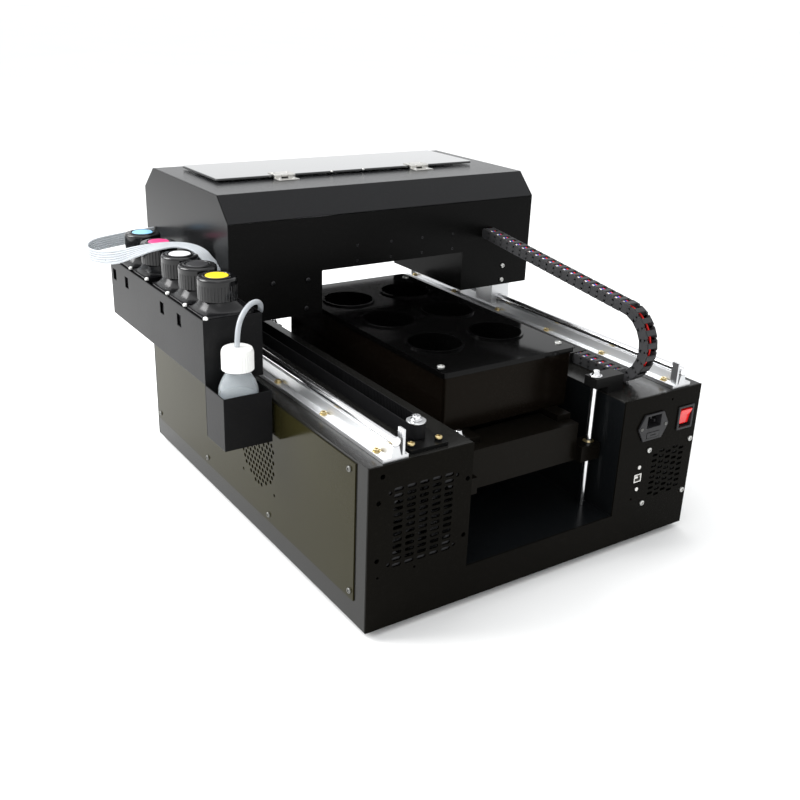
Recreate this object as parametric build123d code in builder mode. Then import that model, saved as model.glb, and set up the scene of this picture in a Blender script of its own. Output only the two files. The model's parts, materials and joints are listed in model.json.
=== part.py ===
from build123d import *
import os
from math import hypot, pi, radians, sqrt, tan

os.makedirs("parts", exist_ok=True)

# A flatbed UV printer. Millimetres, +X to the machine's right, +Y to its back, +Z up.
# The origin lies under the middle of the machine, at the level of the feet.

# Base: two towers with a channel between them
base_w = 476
base_d = 582
base_h = 190
tower_w = 128
sill_h = 42
foot_h = 8
foot_r = 17
foot_inset_x = 25
foot_inset_y = 30
plate_t = 2
sheet_t = 1.5
side_head_h = 2.2
screw_r = 1.5
head_r = 3.5

# What stands proud of the base
ink_overhang = 64
rear_overhang = 16
front_proud = 3

# Gantry
gantry_inset = 7
gantry_y = 329
gantry_leg_d = 168
gantry_leg_z = 238
gantry_window_z = 292
gantry_chamfer_z = 361
gantry_h = 390
gantry_chamfer_front = 29
gantry_chamfer_rear = 34
leg_left_inset = 2
leg_right_inset = 11

# Rails and shafts on the towers
rail_inset = 33
rail_w = 30
rail_foot_t = 5
rail_web_w = 12
rail_neck_w = 7
rail_neck_h = 16
rail_shaft_r = 5
rail_shaft_h = 20.5
rail_start = 3
rail_len = 572
stop_t = 3
stop_d = 10
stop_h = 27
rail_screw_n = 6

# Timing belt on the left tower
belt_inset = 77
belt_h = 16
belt_t = 1.6
belt_r = 8.7
belt_z = 5.5
idler_y = 34
drive_y = 555
flange_r = 10.5

# Lift, its guide rods and screw
rod_r = 4
rod_wall_gap = 11
rod_front_y = 42
rod_rear_y = 478
rod_top_right = 213
rod_top_left = 180
beam_wall_gap = 32.5
beam_d = 45
beam_z = 108.4
beam_h = 48
beam_front_y = 40
screw_y = 260
lead_screw_r = 4
running = 0.05

# Platen
platen_wall_gap = 14
platen_y = 77
platen_len = 366
platen_t = 6
platen_top = 236.7
platen_corner_r = 5
box_inset = 3
box_z = 164
box_t = 2
nest_r = 32
nest_rim_r = 35
nest_rim_h = 2
nest_sleeve_h = 25
nest_inset_x = 50.75
nest_pitch_y = 99
nest_row_y = 265

# Lid on the gantry
lid_x = 39.5
lid_right = 39
lid_y = 431
lid_d = 110
lid_t = 3
lid_gap = 2
hatch_lap = 12
hinge_y = 428
hinge_z = 394.2
hinge_r = 2.2
hinge_pin_r = 1.2
hinge_w = 30
hinge_leaf_t = 1.2
hinge_leaf_d = 14
hinge_left_x = 132
hinge_right_x = 134

# Ink tray, tanks and caps
tray_y = 242
tray_len = 306
tray_z = 205
tray_h = 75
tank_fronts = (244, 299, 352, 421, 478)
tank_w = 52
tank_d = 62
tank_h = 78
tank_shoulder_h = 9
cap_y = 30
cap_x = 32
cap_r = 22.5
cap_h = 25
cap_z = 294
neck_r = 15

# Bottle holder and waste bottle
holder_y = 194
holder_z = 143
holder_h = 62
holder_w = 58
bottle_r = 22.5
bottle_h = 67
bottle_neck_r = 14
bottle_cap_r = 18
bottle_cap_h = 25
bottle_z = 228
waste_tube_r = 3

# Drag chain on the right
chain_inset = 92
chain_w = 18
chain_t = 14
chain_bend_y = 62
chain_bend_r = 43
chain_low_z = 197.5
chain_end_y = 130
chain_gantry_z = 316
body_gap = 0.3

# Front right tower: inlet, switch, port and fan
inlet_inset = 78.5
inlet_z = 150.5
inlet_w = 31
inlet_h = 34
inlet_flange_t = 2.5
switch_inset = 22.5
switch_z = 151
switch_w = 26.5
switch_h = 30.5
usb_inset = 92
usb_z = 84.5
fan_80_inset = 43
fan_80_z = 83.3
fan_80_pitch = 71.5

# 92 mm fans
fan_92 = 92
fan_92_pitch = 82.5
fan_92_shift = 3.2
fan_92_z = 116.3
side_fan_y = 243
side_fan_z = 110.5
fan_t = 25
vent_r = 43

side_proud = sheet_t + side_head_h
left = -(base_w + ink_overhang + side_proud) / 2 + ink_overhang
right = left + base_w
mid = (left + right) / 2
front = -(front_proud + base_d + rear_overhang) / 2 + front_proud
rear = front + base_d
bottom = foot_h
deck = bottom + base_h
sill = bottom + sill_h
channel_left = left + tower_w
channel_right = right - tower_w
channel_w = base_w - 2 * tower_w
beam_w = channel_w - 2 * beam_wall_gap
platen_w = channel_w - 2 * platen_wall_gap
nest_pitch_x = platen_w - 2 * nest_inset_x
gantry_w = base_w - 2 * gantry_inset
leg_left_w = tower_w - leg_left_inset
leg_right_w = tower_w - leg_right_inset
lid_w = base_w - lid_x - lid_right
hinge_centres = (hinge_left_x, base_w - hinge_right_x)
chain_x = base_w - chain_inset
inlet_x = base_w - inlet_inset
switch_x = base_w - switch_inset
usb_x = base_w - usb_inset
fan_80_x = base_w - fan_80_inset
fan_92_x = tower_w / 2 + fan_92_shift
inner_front = front + plate_t
inner_len = base_d - 2 * plate_t
low_corner = (Align.MIN, Align.MIN)
low_corner_3d = (Align.MIN, Align.MIN, Align.MIN)
on_floor = (Align.CENTER, Align.CENTER, Align.MIN)


def facing_front(y):
    """Sketch plane at a given Y: local x is X, local y is Z, and its normal points to the front."""
    return Plane.XZ.offset(-y)


def facing_side(x):
    """Sketch plane at a given X: local x is Y, local y is Z."""
    return Plane.YZ.offset(x)


def vent_points(radius, pitch):
    """Staggered holes inside a circle."""
    row_step = pitch * sqrt(3) / 2
    rows = int(radius / row_step)
    points = []
    for row in range(-rows, rows + 1):
        shift = pitch / 2 if row % 2 else 0
        for column in range(-rows - 1, rows + 2):
            a = column * pitch + shift
            b = row * row_step
            if hypot(a, b) <= radius:
                points.append((a, b))
    return points


# ---------------------------------------------------------------- base casing
slot_columns = 5
slot_rows = 13
slot_w = 11.4
slot_h = 4.2
slot_pitch_x = 15.6
slot_pitch_z = 7.3
plate_holes = ((16.2, 178), (12.3, 149.5), (11.8, 83.6), (tower_w - 5.7, 150), (tower_w - 6.5, 83))
plate_hole_r = 2.8
screw_holes = ((13.3, 63.2), (58.9, 62.9), (base_w - 98.4, 57.2), (base_w - 49, 179))
usb_cut_w = 13
usb_cut_h = 12

with BuildPart() as front_plate:
    with BuildSketch(facing_front(front)):
        with Locations((left, bottom)):
            Rectangle(base_w, base_h, align=low_corner)
        with Locations((channel_left, sill)):
            Rectangle(base_w - 2 * tower_w, base_h, align=low_corner, mode=Mode.SUBTRACT)
        with Locations((left + fan_92_x, bottom + fan_92_z)):
            with GridLocations(slot_pitch_x, slot_pitch_z, slot_columns, slot_rows):
                SlotOverall(slot_w, slot_h, mode=Mode.SUBTRACT)
            with GridLocations(fan_92_pitch, fan_92_pitch, 2, 2):
                Circle(2.2, mode=Mode.SUBTRACT)
        with Locations([(left + x, bottom + z) for x, z in plate_holes]):
            Circle(plate_hole_r, mode=Mode.SUBTRACT)
        with Locations([(left + x, bottom + z) for x, z in screw_holes]):
            Circle(screw_r, mode=Mode.SUBTRACT)
        with Locations((left + inlet_x, bottom + inlet_z)):
            Rectangle(inlet_w - 3, inlet_h - 4, mode=Mode.SUBTRACT)
        with Locations((left + switch_x, bottom + switch_z)):
            Rectangle(switch_w - 3, switch_h - 3, mode=Mode.SUBTRACT)
        with Locations((left + usb_x, bottom + usb_z)):
            Rectangle(usb_cut_w, usb_cut_h, mode=Mode.SUBTRACT)
        with Locations((left + fan_80_x, bottom + fan_80_z)):
            with GridLocations(23, 7.4, 3, 8):
                SlotOverall(9, 3.6, mode=Mode.SUBTRACT)
            with GridLocations(23, 7.4, 2, 9):
                SlotOverall(9, 3.6, mode=Mode.SUBTRACT)
            with GridLocations(fan_80_pitch, fan_80_pitch, 2, 2):
                Circle(screw_r, mode=Mode.SUBTRACT)
    extrude(amount=-plate_t)
front_plate.part.label = "front_plate"
export_step(front_plate.part, "parts/front_plate.step")

with BuildPart() as rear_plate:
    with BuildSketch(facing_front(rear)):
        with Locations((left, bottom)):
            Rectangle(base_w, base_h, align=low_corner)
        with Locations((channel_left, sill)):
            Rectangle(base_w - 2 * tower_w, base_h, align=low_corner, mode=Mode.SUBTRACT)
        for tower_mid in (left + tower_w / 2, right - tower_w / 2):
            with Locations((tower_mid, bottom + fan_92_z)):
                with GridLocations(0, slot_pitch_z * 2, 1, 6):
                    SlotOverall(60, slot_h, mode=Mode.SUBTRACT)
    extrude(amount=plate_t)
rear_plate.part.label = "rear_plate"
export_step(rear_plate.part, "parts/rear_plate.step")

# The trough lines the channel and the towers' inner walls; the pan closes the base below.
with BuildPart() as base_chassis:
    with BuildSketch(facing_front(inner_front)):
        with BuildLine():
            Polyline(
                (channel_left - sheet_t, deck - sheet_t),
                (channel_left - sheet_t, sill - sheet_t),
                (channel_right + sheet_t, sill - sheet_t),
                (channel_right + sheet_t, deck - sheet_t),
                (channel_right, deck - sheet_t),
                (channel_right, sill),
                (channel_left, sill),
                (channel_left, deck - sheet_t),
                close=True,
            )
        make_face()
    extrude(amount=-inner_len)
    with Locations((mid, front + screw_y, sill)):
        Hole(lead_screw_r + 2, depth=sheet_t)
    with Locations((left + sheet_t, inner_front, bottom)):
        Box(base_w - 2 * sheet_t, inner_len, sheet_t, align=low_corner_3d)
base_chassis.part.label = "base_chassis"
export_step(base_chassis.part, "parts/base_chassis.step")

panel_front = 23
panel_rear = 574
panel_low = 27.6
panel_high = 186.5
panel_lap = 9

with BuildPart() as tower_covers:
    for outer, inner, turn in ((left, channel_left, 1), (right, channel_right, -1)):
        with BuildSketch(facing_front(inner_front)):
            with BuildLine():
                Polyline(
                    (outer, bottom),
                    (outer, deck),
                    (inner, deck),
                    (inner, deck - sheet_t),
                    (outer + turn * sheet_t, deck - sheet_t),
                    (outer + turn * sheet_t, bottom),
                    close=True,
                )
            make_face()
        extrude(amount=-inner_len)
        with BuildSketch(facing_side(outer)):
            with Locations((front + panel_front + panel_lap, bottom + panel_low + panel_lap)):
                Rectangle(
                    panel_rear - panel_front - 2 * panel_lap,
                    panel_high - panel_low - 2 * panel_lap,
                    align=low_corner,
                )
        extrude(amount=turn * sheet_t, mode=Mode.SUBTRACT)
    with Locations((left + belt_inset, front + drive_y, deck)):
        Hole(6, depth=sheet_t)
tower_covers.part.label = "tower_covers"
export_step(tower_covers.part, "parts/tower_covers.step")

panel_screws = ((34, 177), (30, 37), (217, 37), (396, 37), (566, 37), (217, 177), (396, 177), (566, 177))

with BuildPart() as side_panels:
    for outer, turn in ((left, -1), (right, 1)):
        with BuildSketch(facing_side(outer)):
            with Locations((front + panel_front, bottom + panel_low)):
                Rectangle(panel_rear - panel_front, panel_high - panel_low, align=low_corner)
            with Locations([(front + y, bottom + z) for y, z in panel_screws]):
                Circle(screw_r, mode=Mode.SUBTRACT)
            side_fan_vents = vent_points(vent_r, 8)
            with Locations([(front + side_fan_y + a, bottom + side_fan_z + b) for a, b in side_fan_vents]):
                Circle(2.6, mode=Mode.SUBTRACT)
            with Locations((front + side_fan_y, bottom + side_fan_z)):
                with GridLocations(fan_92_pitch, fan_92_pitch, 2, 2):
                    Circle(2, mode=Mode.SUBTRACT)
        extrude(amount=turn * sheet_t)
side_panels.part.label = "side_panels"
export_step(side_panels.part, "parts/side_panels.step")

with BuildPart() as rubber_feet:
    for x in (left + foot_inset_x, right - foot_inset_x):
        for y in (front + foot_inset_y, rear - foot_inset_y):
            with Locations((x, y, 0)):
                Cone(foot_r - 2, foot_r, foot_h, align=on_floor)
rubber_feet.part.label = "rubber_feet"
export_step(rubber_feet.part, "parts/rubber_feet.step")

# Screws of the casing and the rails: domed heads outside, short shanks in the sheet.
rail_left = left + rail_inset
rail_right = right - rail_inset
rail_screw_span = rail_len - 2 * stop_d - 20
rail_screw_side = 10.5

with BuildPart() as casing_screws:
    for outer, turn in ((left - sheet_t, -1), (right + sheet_t, 1)):
        with BuildSketch(facing_side(outer)):
            with Locations([(front + y, bottom + z) for y, z in panel_screws]):
                Circle(head_r)
        extrude(amount=turn * side_head_h, taper=12)
        with BuildSketch(facing_side(outer)):
            with Locations([(front + y, bottom + z) for y, z in panel_screws]):
                Circle(screw_r)
        extrude(amount=-turn * sheet_t)
    with BuildSketch(facing_front(front)):
        with Locations((left + fan_80_x, bottom + fan_80_z)):
            with GridLocations(fan_80_pitch, fan_80_pitch, 2, 2):
                Circle(head_r)
    extrude(amount=side_head_h, taper=12)
    with BuildSketch(facing_front(front)):
        with Locations((left + fan_80_x, bottom + fan_80_z)):
            with GridLocations(fan_80_pitch, fan_80_pitch, 2, 2):
                Circle(screw_r)
    extrude(amount=-plate_t)
    for rail_x in (rail_left, rail_right):
        with Locations((rail_x, front + rail_start + rail_len / 2, deck + rail_foot_t)):
            with GridLocations(2 * rail_screw_side, rail_screw_span / (rail_screw_n - 1), 2, rail_screw_n):
                Cylinder(3.5, 2, align=on_floor)
casing_screws.part.label = "casing_screws"
export_step(casing_screws.part, "parts/casing_screws.step")

# ---------------------------------------------------------------- rails, shafts and belt
with BuildPart() as rail_supports:
    for rail_x, inner in ((rail_left, 1), (rail_right, -1)):
        with BuildSketch(facing_front(front + rail_start)):
            with BuildLine():
                Polyline(
                    (rail_x - rail_w / 2, deck),
                    (rail_x + rail_w / 2, deck),
                    (rail_x + rail_w / 2, deck + rail_foot_t),
                    (rail_x + rail_web_w / 2, deck + rail_foot_t),
                    (rail_x + rail_neck_w / 2, deck + rail_neck_h),
                    (rail_x - rail_neck_w / 2, deck + rail_neck_h),
                    (rail_x - rail_web_w / 2, deck + rail_foot_t),
                    (rail_x - rail_w / 2, deck + rail_foot_t),
                    close=True,
                )
            make_face()
            with Locations((rail_x, deck + rail_shaft_h)):
                Circle(rail_shaft_r, mode=Mode.SUBTRACT)
        extrude(amount=-rail_len)
        for stop_y in (front + rail_start, front + rail_start + rail_len - stop_d):
            stop_x = rail_x + inner * (rail_web_w / 2 + stop_t)
            with Locations((stop_x, stop_y + stop_d / 2, deck + rail_foot_t)):
                Box(stop_t, stop_d, stop_h, align=on_floor)
rail_supports.part.label = "rail_supports"
export_step(rail_supports.part, "parts/rail_supports.step")

rod_x = (channel_left + rod_wall_gap, channel_right - rod_wall_gap)
rod_y = (front + rod_front_y, front + rod_rear_y)
rod_tops = (bottom + rod_top_left, bottom + rod_top_right)
nut_h = 6
washer_t = 1.2

with BuildPart() as linear_shafts:
    for rail_x in (rail_left, rail_right):
        with BuildSketch(facing_front(front + rail_start)):
            with Locations((rail_x, deck + rail_shaft_h)):
                Circle(rail_shaft_r)
        extrude(amount=-rail_len)
    for x, rod_top in zip(rod_x, rod_tops):
        for y in rod_y:
            with Locations((x, y, sill)):
                Cylinder(rod_r, rod_top - sill, align=on_floor)
            with Locations((x, y, rod_top - 2)):
                Cylinder(7.5, washer_t, align=on_floor)
            with Locations((x, y, rod_top - 2 + washer_t)):
                Cone(5.5, 3.5, nut_h, align=on_floor)
linear_shafts.part.label = "linear_shafts"
export_step(linear_shafts.part, "parts/linear_shafts.step")

# Brackets: the right rods hang from arms on the deck, the left ones from short arms on the channel wall.
arm_t = 12
short_arm_t = 8
arm_low = bottom + rod_top_right - 2 - arm_t
short_arm_low = bottom + rod_top_left - 2 - short_arm_t
arm_w = 20
arm_nose = 8
arm_chain_gap = 11
idler_x = left + belt_inset
post_r = 3

with BuildPart() as deck_brackets:
    for y in rod_y:
        with BuildSketch(facing_front(y - arm_w / 2)):
            with BuildLine():
                Polyline(
                    (rod_x[1] - arm_nose, arm_low),
                    (rod_x[1] - arm_nose, arm_low + arm_t),
                    (left + chain_x - arm_chain_gap, arm_low + arm_t),
                    (left + chain_x - arm_chain_gap, deck),
                    (channel_right + 1, deck),
                    (channel_right + 1, arm_low),
                    close=True,
                )
            make_face()
        extrude(amount=-arm_w)
        with Locations((rod_x[1], y, arm_low + arm_t)):
            Hole(rod_r, depth=arm_t)
        with Locations((channel_left, y, short_arm_low)):
            Box(
                rod_x[0] + arm_nose - channel_left,
                arm_w,
                short_arm_t,
                align=(Align.MIN, Align.CENTER, Align.MIN),
            )
        with Locations((rod_x[0], y, short_arm_low + short_arm_t)):
            Hole(rod_r, depth=short_arm_t)
    with Locations((idler_x, front + idler_y - 4, deck)):
        Box(46, 44, 4, align=on_floor)
        with Locations((-17, -13, 4), (17, -13, 4)):
            Cylinder(4, 2.5, align=on_floor)
    with Locations((idler_x, front + idler_y, deck + 4)):
        Cylinder(post_r, belt_h + 5, align=on_floor)
    with Locations((left + chain_x + chain_w / 2, front + chain_end_y + body_gap + 6, deck)):
        Box(chain_w + 8, 12, chain_t, align=on_floor)
deck_brackets.part.label = "deck_brackets"
export_step(deck_brackets.part, "parts/deck_brackets.step")

belt_low = deck + belt_z
belt_span = drive_y - idler_y

with BuildPart() as timing_belt:
    with BuildSketch(Plane.XY.offset(belt_low)):
        with Locations((idler_x, front + (idler_y + drive_y) / 2)):
            SlotCenterToCenter(belt_span, 2 * (belt_r + belt_t), rotation=90)
            SlotCenterToCenter(belt_span, 2 * belt_r, rotation=90, mode=Mode.SUBTRACT)
    extrude(amount=belt_h)
timing_belt.part.label = "timing_belt"
export_step(timing_belt.part, "parts/timing_belt.step")

pulley_r = belt_r - body_gap
pulley_low = belt_low - 1
tooth_n = 20

with BuildPart() as idler_pulley:
    with Locations((idler_x, front + idler_y, pulley_low)):
        Cylinder(pulley_r, belt_h + 2, align=on_floor)
    with Locations((idler_x, front + idler_y, belt_low + belt_h + body_gap)):
        Cylinder(flange_r, 1.5, align=on_floor)
    with Locations((idler_x, front + idler_y, pulley_low)):
        Cylinder(post_r + running, belt_h + 4, align=on_floor, mode=Mode.SUBTRACT)
idler_pulley.part.label = "idler_pulley"
export_step(idler_pulley.part, "parts/idler_pulley.step")

motor_shaft_r = 2.5
motor_shaft_depth = 20
motor_w = 42
motor_h = 40

with BuildPart() as drive_pulley:
    with BuildSketch(Plane.XY.offset(belt_low - 0.5)):
        with Locations((idler_x, front + drive_y)):
            Circle(pulley_r)
            with PolarLocations(pulley_r, tooth_n):
                Circle(0.6, mode=Mode.SUBTRACT)
    extrude(amount=belt_h + 1)
    with Locations((idler_x, front + drive_y, belt_low + belt_h + body_gap + 0.2)):
        Cylinder(flange_r, 1.5, align=on_floor)
    with Locations((idler_x, front + drive_y, deck - sheet_t - motor_shaft_depth + 2)):
        Cylinder(motor_shaft_r, motor_shaft_depth + 6, align=on_floor)
drive_pulley.part.label = "drive_pulley"
export_step(drive_pulley.part, "parts/drive_pulley.step")

lift_motor_h = 34

with BuildPart() as stepper_motors:
    with Locations((idler_x, front + drive_y - 8, deck - sheet_t - motor_h)):
        Box(motor_w, motor_w, motor_h, align=on_floor)
    fillet(stepper_motors.edges().filter_by(Axis.Z), 4)
    with Locations((idler_x, front + drive_y, deck - sheet_t)):
        Hole(motor_shaft_r + running, depth=motor_shaft_depth)
    with BuildSketch(Plane.XY.offset(bottom + sheet_t)):
        with Locations((mid, front + screw_y)):
            RectangleRounded(motor_w, motor_w, 4)
            Circle(lead_screw_r + running, mode=Mode.SUBTRACT)
    extrude(amount=lift_motor_h)
stepper_motors.part.label = "stepper_motors"
export_step(stepper_motors.part, "parts/stepper_motors.step")

# ---------------------------------------------------------------- fans
hub_r = 15
bore_r = 43
fan_hub_t = 5
rotor_t = 16
spindle_r = 2
blade_n = 7
fan_80 = 80
bore_80_r = 37
left_fan_centre = (left + fan_92_x, bottom + fan_92_z)
right_fan_centre = (left + fan_80_x, bottom + fan_80_z)
side_fan_centre = (front + side_fan_y, bottom + side_fan_z)
fans = (
    ("left_fan_rotor", facing_front(inner_front), left_fan_centre, fan_92, bore_r, -1),
    ("right_fan_rotor", facing_front(inner_front), right_fan_centre, fan_80, bore_80_r, -1),
    ("side_fan_rotor", facing_side(left + sheet_t), side_fan_centre, fan_92, bore_r, 1),
)


def inward(plane, way, depth):
    """The same plane, further into the casing."""
    return plane.offset(way * depth)


with BuildPart() as fan_frames:
    for name, plane, centre, size, bore, way in fans:
        with BuildSketch(plane):
            with Locations(centre):
                RectangleRounded(size, size, 4)
                Circle(bore, mode=Mode.SUBTRACT)
        extrude(amount=way * (fan_t - fan_hub_t))
        with BuildSketch(inward(plane, way, fan_t - fan_hub_t)):
            with Locations(centre):
                RectangleRounded(size, size, 4)
                Circle(bore, mode=Mode.SUBTRACT)
                with PolarLocations(bore / 2, 3, rotate=True):
                    Rectangle(bore + 2, 5)
                Circle(hub_r)
                Circle(spindle_r + running, mode=Mode.SUBTRACT)
        extrude(amount=way * fan_hub_t)
fan_frames.part.label = "fan_frames"
export_step(fan_frames.part, "parts/fan_frames.step")

for name, plane, centre, size, bore, way in fans:
    blade_r = bore - 2
    with BuildPart() as fan_rotor:
        with BuildSketch(inward(plane, way, 2)):
            with Locations(centre):
                Circle(hub_r)
        extrude(amount=way * rotor_t)
        with BuildSketch(inward(plane, way, 2 + rotor_t)):
            with Locations(centre):
                Circle(spindle_r)
        extrude(amount=way * (fan_hub_t + 2))
        for step in range(4):
            turned = step * 8
            with BuildSketch(inward(plane, way, 3 + step * 3.5)):
                with Locations(centre):
                    with PolarLocations((hub_r + blade_r) / 2, blade_n, start_angle=turned):
                        Rectangle(blade_r - hub_r + 2, 7)
            extrude(amount=way * 3.5)
    fan_rotor.part.label = name
    export_step(fan_rotor.part, f"parts/{name}.step")

# ---------------------------------------------------------------- mains inlet, switch and port
inlet_lug = 25
inlet_body_d = 24
socket_w = 23
socket_h = 15
socket_up = 7
socket_depth = 16
pin_start = 6
drawer_w = 21
drawer_h = 7.6
drawer_down = 10.2
drawer_len = 18
inlet_spot = (left + inlet_x, bottom + inlet_z)
inlet_face = front - inlet_flange_t

with BuildPart() as power_inlet:
    with BuildSketch(facing_front(front)):
        with BuildLine():
            Polyline(
                (inlet_spot[0] - inlet_lug, inlet_spot[1]),
                (inlet_spot[0] - inlet_w / 2, inlet_spot[1] + inlet_h / 2),
                (inlet_spot[0] + inlet_w / 2, inlet_spot[1] + inlet_h / 2),
                (inlet_spot[0] + inlet_lug, inlet_spot[1]),
                (inlet_spot[0] + inlet_w / 2, inlet_spot[1] - inlet_h / 2),
                (inlet_spot[0] - inlet_w / 2, inlet_spot[1] - inlet_h / 2),
                close=True,
            )
        make_face()
    extrude(amount=inlet_flange_t)
    with BuildSketch(facing_front(front)):
        with Locations(inlet_spot):
            Rectangle(inlet_w - 4, inlet_h - 5)
    extrude(amount=-inlet_body_d)
    with BuildSketch(facing_front(inlet_face)):
        with Locations((inlet_spot[0], inlet_spot[1] + socket_up)):
            Rectangle(socket_w, socket_h)
    extrude(amount=-socket_depth, mode=Mode.SUBTRACT)
    with BuildSketch(facing_front(inlet_face)):
        with Locations((inlet_spot[0], inlet_spot[1] - drawer_down)):
            Rectangle(drawer_w, drawer_h)
    extrude(amount=-drawer_len - 2, mode=Mode.SUBTRACT)
    with BuildSketch(facing_front(inlet_face + pin_start)):
        with Locations((inlet_spot[0], inlet_spot[1] + socket_up)):
            with Locations((0, 2.5), (-7, -2.5), (7, -2.5)):
                Rectangle(2, 4)
    extrude(amount=pin_start - socket_depth)
power_inlet.part.label = "power_inlet"
export_step(power_inlet.part, "parts/power_inlet.step")

with BuildPart() as fuse_drawer:
    with BuildSketch(facing_front(inlet_face - 0.4)):
        with Locations((inlet_spot[0], inlet_spot[1] - drawer_down)):
            Rectangle(drawer_w - 2 * body_gap, drawer_h - 2 * body_gap)
    extrude(amount=-drawer_len)
    with BuildSketch(facing_front(inlet_face - 0.4)):
        with Locations((inlet_spot[0], inlet_spot[1] - drawer_down)):
            Rectangle(9, 1.2)
    extrude(amount=-1, mode=Mode.SUBTRACT)
fuse_drawer.part.label = "fuse_drawer"
export_step(fuse_drawer.part, "parts/fuse_drawer.step")

switch_spot = (left + switch_x, bottom + switch_z)
bezel_t = 2
switch_pocket_w = 20.5
switch_pocket_h = 25
rocker_w = 19.6
rocker_half = 10.3
rocker_depth = 6
rocker_pivot_y = front + rocker_depth - front_proud

with BuildPart() as switch_bezel:
    with BuildSketch(facing_front(front)):
        with Locations(switch_spot):
            Rectangle(switch_w, switch_h)
            Rectangle(switch_pocket_w, switch_pocket_h, mode=Mode.SUBTRACT)
    extrude(amount=bezel_t)
    with BuildSketch(facing_front(front)):
        with Locations(switch_spot):
            Rectangle(switch_w - 3.4, switch_h - 3.4)
            Rectangle(switch_pocket_w, switch_pocket_h, mode=Mode.SUBTRACT)
    extrude(amount=-16)
    with BuildSketch(facing_front(front + 16)):
        with Locations(switch_spot):
            Rectangle(switch_w - 3.4, switch_h - 3.4)
    extrude(amount=-2)
switch_bezel.part.label = "switch_bezel"
export_step(switch_bezel.part, "parts/switch_bezel.step")

with BuildPart() as switch_rocker:
    with BuildSketch(facing_side(switch_spot[0] - rocker_w / 2)):
        with BuildLine():
            Polyline(
                (rocker_pivot_y - rocker_depth, switch_spot[1] + rocker_half),
                (rocker_pivot_y - 2.4, switch_spot[1]),
                (rocker_pivot_y - 1, switch_spot[1] - rocker_half),
                (rocker_pivot_y + rocker_depth, switch_spot[1] - rocker_half),
                (rocker_pivot_y + rocker_depth, switch_spot[1] + rocker_half),
                close=True,
            )
        make_face()
    extrude(amount=rocker_w)
switch_rocker.part.label = "switch_rocker"
export_step(switch_rocker.part, "parts/switch_rocker.step")

with BuildPart() as usb_port:
    with BuildSketch(facing_front(front - 0.6)):
        with Locations((left + usb_x, bottom + usb_z)):
            Rectangle(usb_cut_w - 1, usb_cut_h - 1)
    extrude(amount=-16)
    with BuildSketch(facing_front(front - 0.6)):
        with Locations((left + usb_x, bottom + usb_z)):
            Rectangle(9, 8)
    extrude(amount=-10, mode=Mode.SUBTRACT)
    with BuildSketch(facing_front(front)):
        with Locations((left + usb_x, bottom + usb_z)):
            with GridLocations(0, 29.3, 1, 2):
                Circle(2.8)
    extrude(amount=1.5, taper=10)
usb_port.part.label = "usb_port"
export_step(usb_port.part, "parts/usb_port.step")

# ---------------------------------------------------------------- electronics in the towers
supply_w = 98
supply_d = 180
supply_h = 42
supply_y = 300
supply_shift = 1.5
board_w = 88
board_d = 140
board_up = 12
board_x = 34
board_y = 310
board_t = 1.6
supply_x = (channel_right + right - supply_w) / 2 - supply_shift

with BuildPart() as power_supply:
    with Locations((supply_x, front + supply_y, bottom + sheet_t)):
        Box(supply_w, supply_d, supply_h, align=low_corner_3d)
    with BuildSketch(Plane.XY.offset(bottom + sheet_t + supply_h)):
        with Locations((supply_x + supply_w / 2, front + supply_y + supply_d / 2)):
            with GridLocations(10, 20, 7, 6):
                SlotOverall(14, 4, rotation=90)
    extrude(amount=-1, mode=Mode.SUBTRACT)
power_supply.part.label = "power_supply"
export_step(power_supply.part, "parts/power_supply.step")

with BuildPart() as control_board:
    with Locations((left + board_x + board_w / 2, front + board_y + board_d / 2, bottom + sheet_t)):
        with GridLocations(board_w - 10, board_d - 10, 2, 2):
            Cylinder(3, board_up, align=on_floor)
    with Locations((left + board_x + board_w / 2, front + board_y + board_d / 2, bottom + sheet_t + board_up)):
        Box(board_w, board_d, board_t, align=on_floor)
    board_mid_x = left + board_x + board_w / 2
    board_mid_y = front + board_y + board_d / 2
    with Locations((board_mid_x, board_mid_y, bottom + sheet_t + board_up + board_t)):
        with Locations((0, 20, 0)):
            Box(26, 26, 3, align=on_floor)
        with GridLocations(16, 0, 4, 1):
            with Locations((0, -40, 0)):
                Box(10, 14, 6, align=on_floor)
control_board.part.label = "control_board"
export_step(control_board.part, "parts/control_board.step")

# ---------------------------------------------------------------- lift and platen
lead_screw_top = 165
lead_screw_low = 22

with BuildPart() as lead_screw:
    with Locations((mid, front + screw_y, bottom + lead_screw_low)):
        Cylinder(lead_screw_r, lead_screw_top - lead_screw_low, align=on_floor)
lead_screw.part.label = "lead_screw"
export_step(lead_screw.part, "parts/lead_screw.step")

beam_low = bottom + beam_z
beam_top = beam_low + beam_h
beam_mid_y = front + beam_front_y + beam_d / 2
beam_rear_y = front + 2 * screw_y - beam_front_y - beam_d / 2
beam_wall = 2
side_bar_w = 20
bush_block_h = 20
bush_block_nose = 8
bush_r = 7
bush_block_w = beam_wall_gap - rod_wall_gap + bush_block_nose

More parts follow.
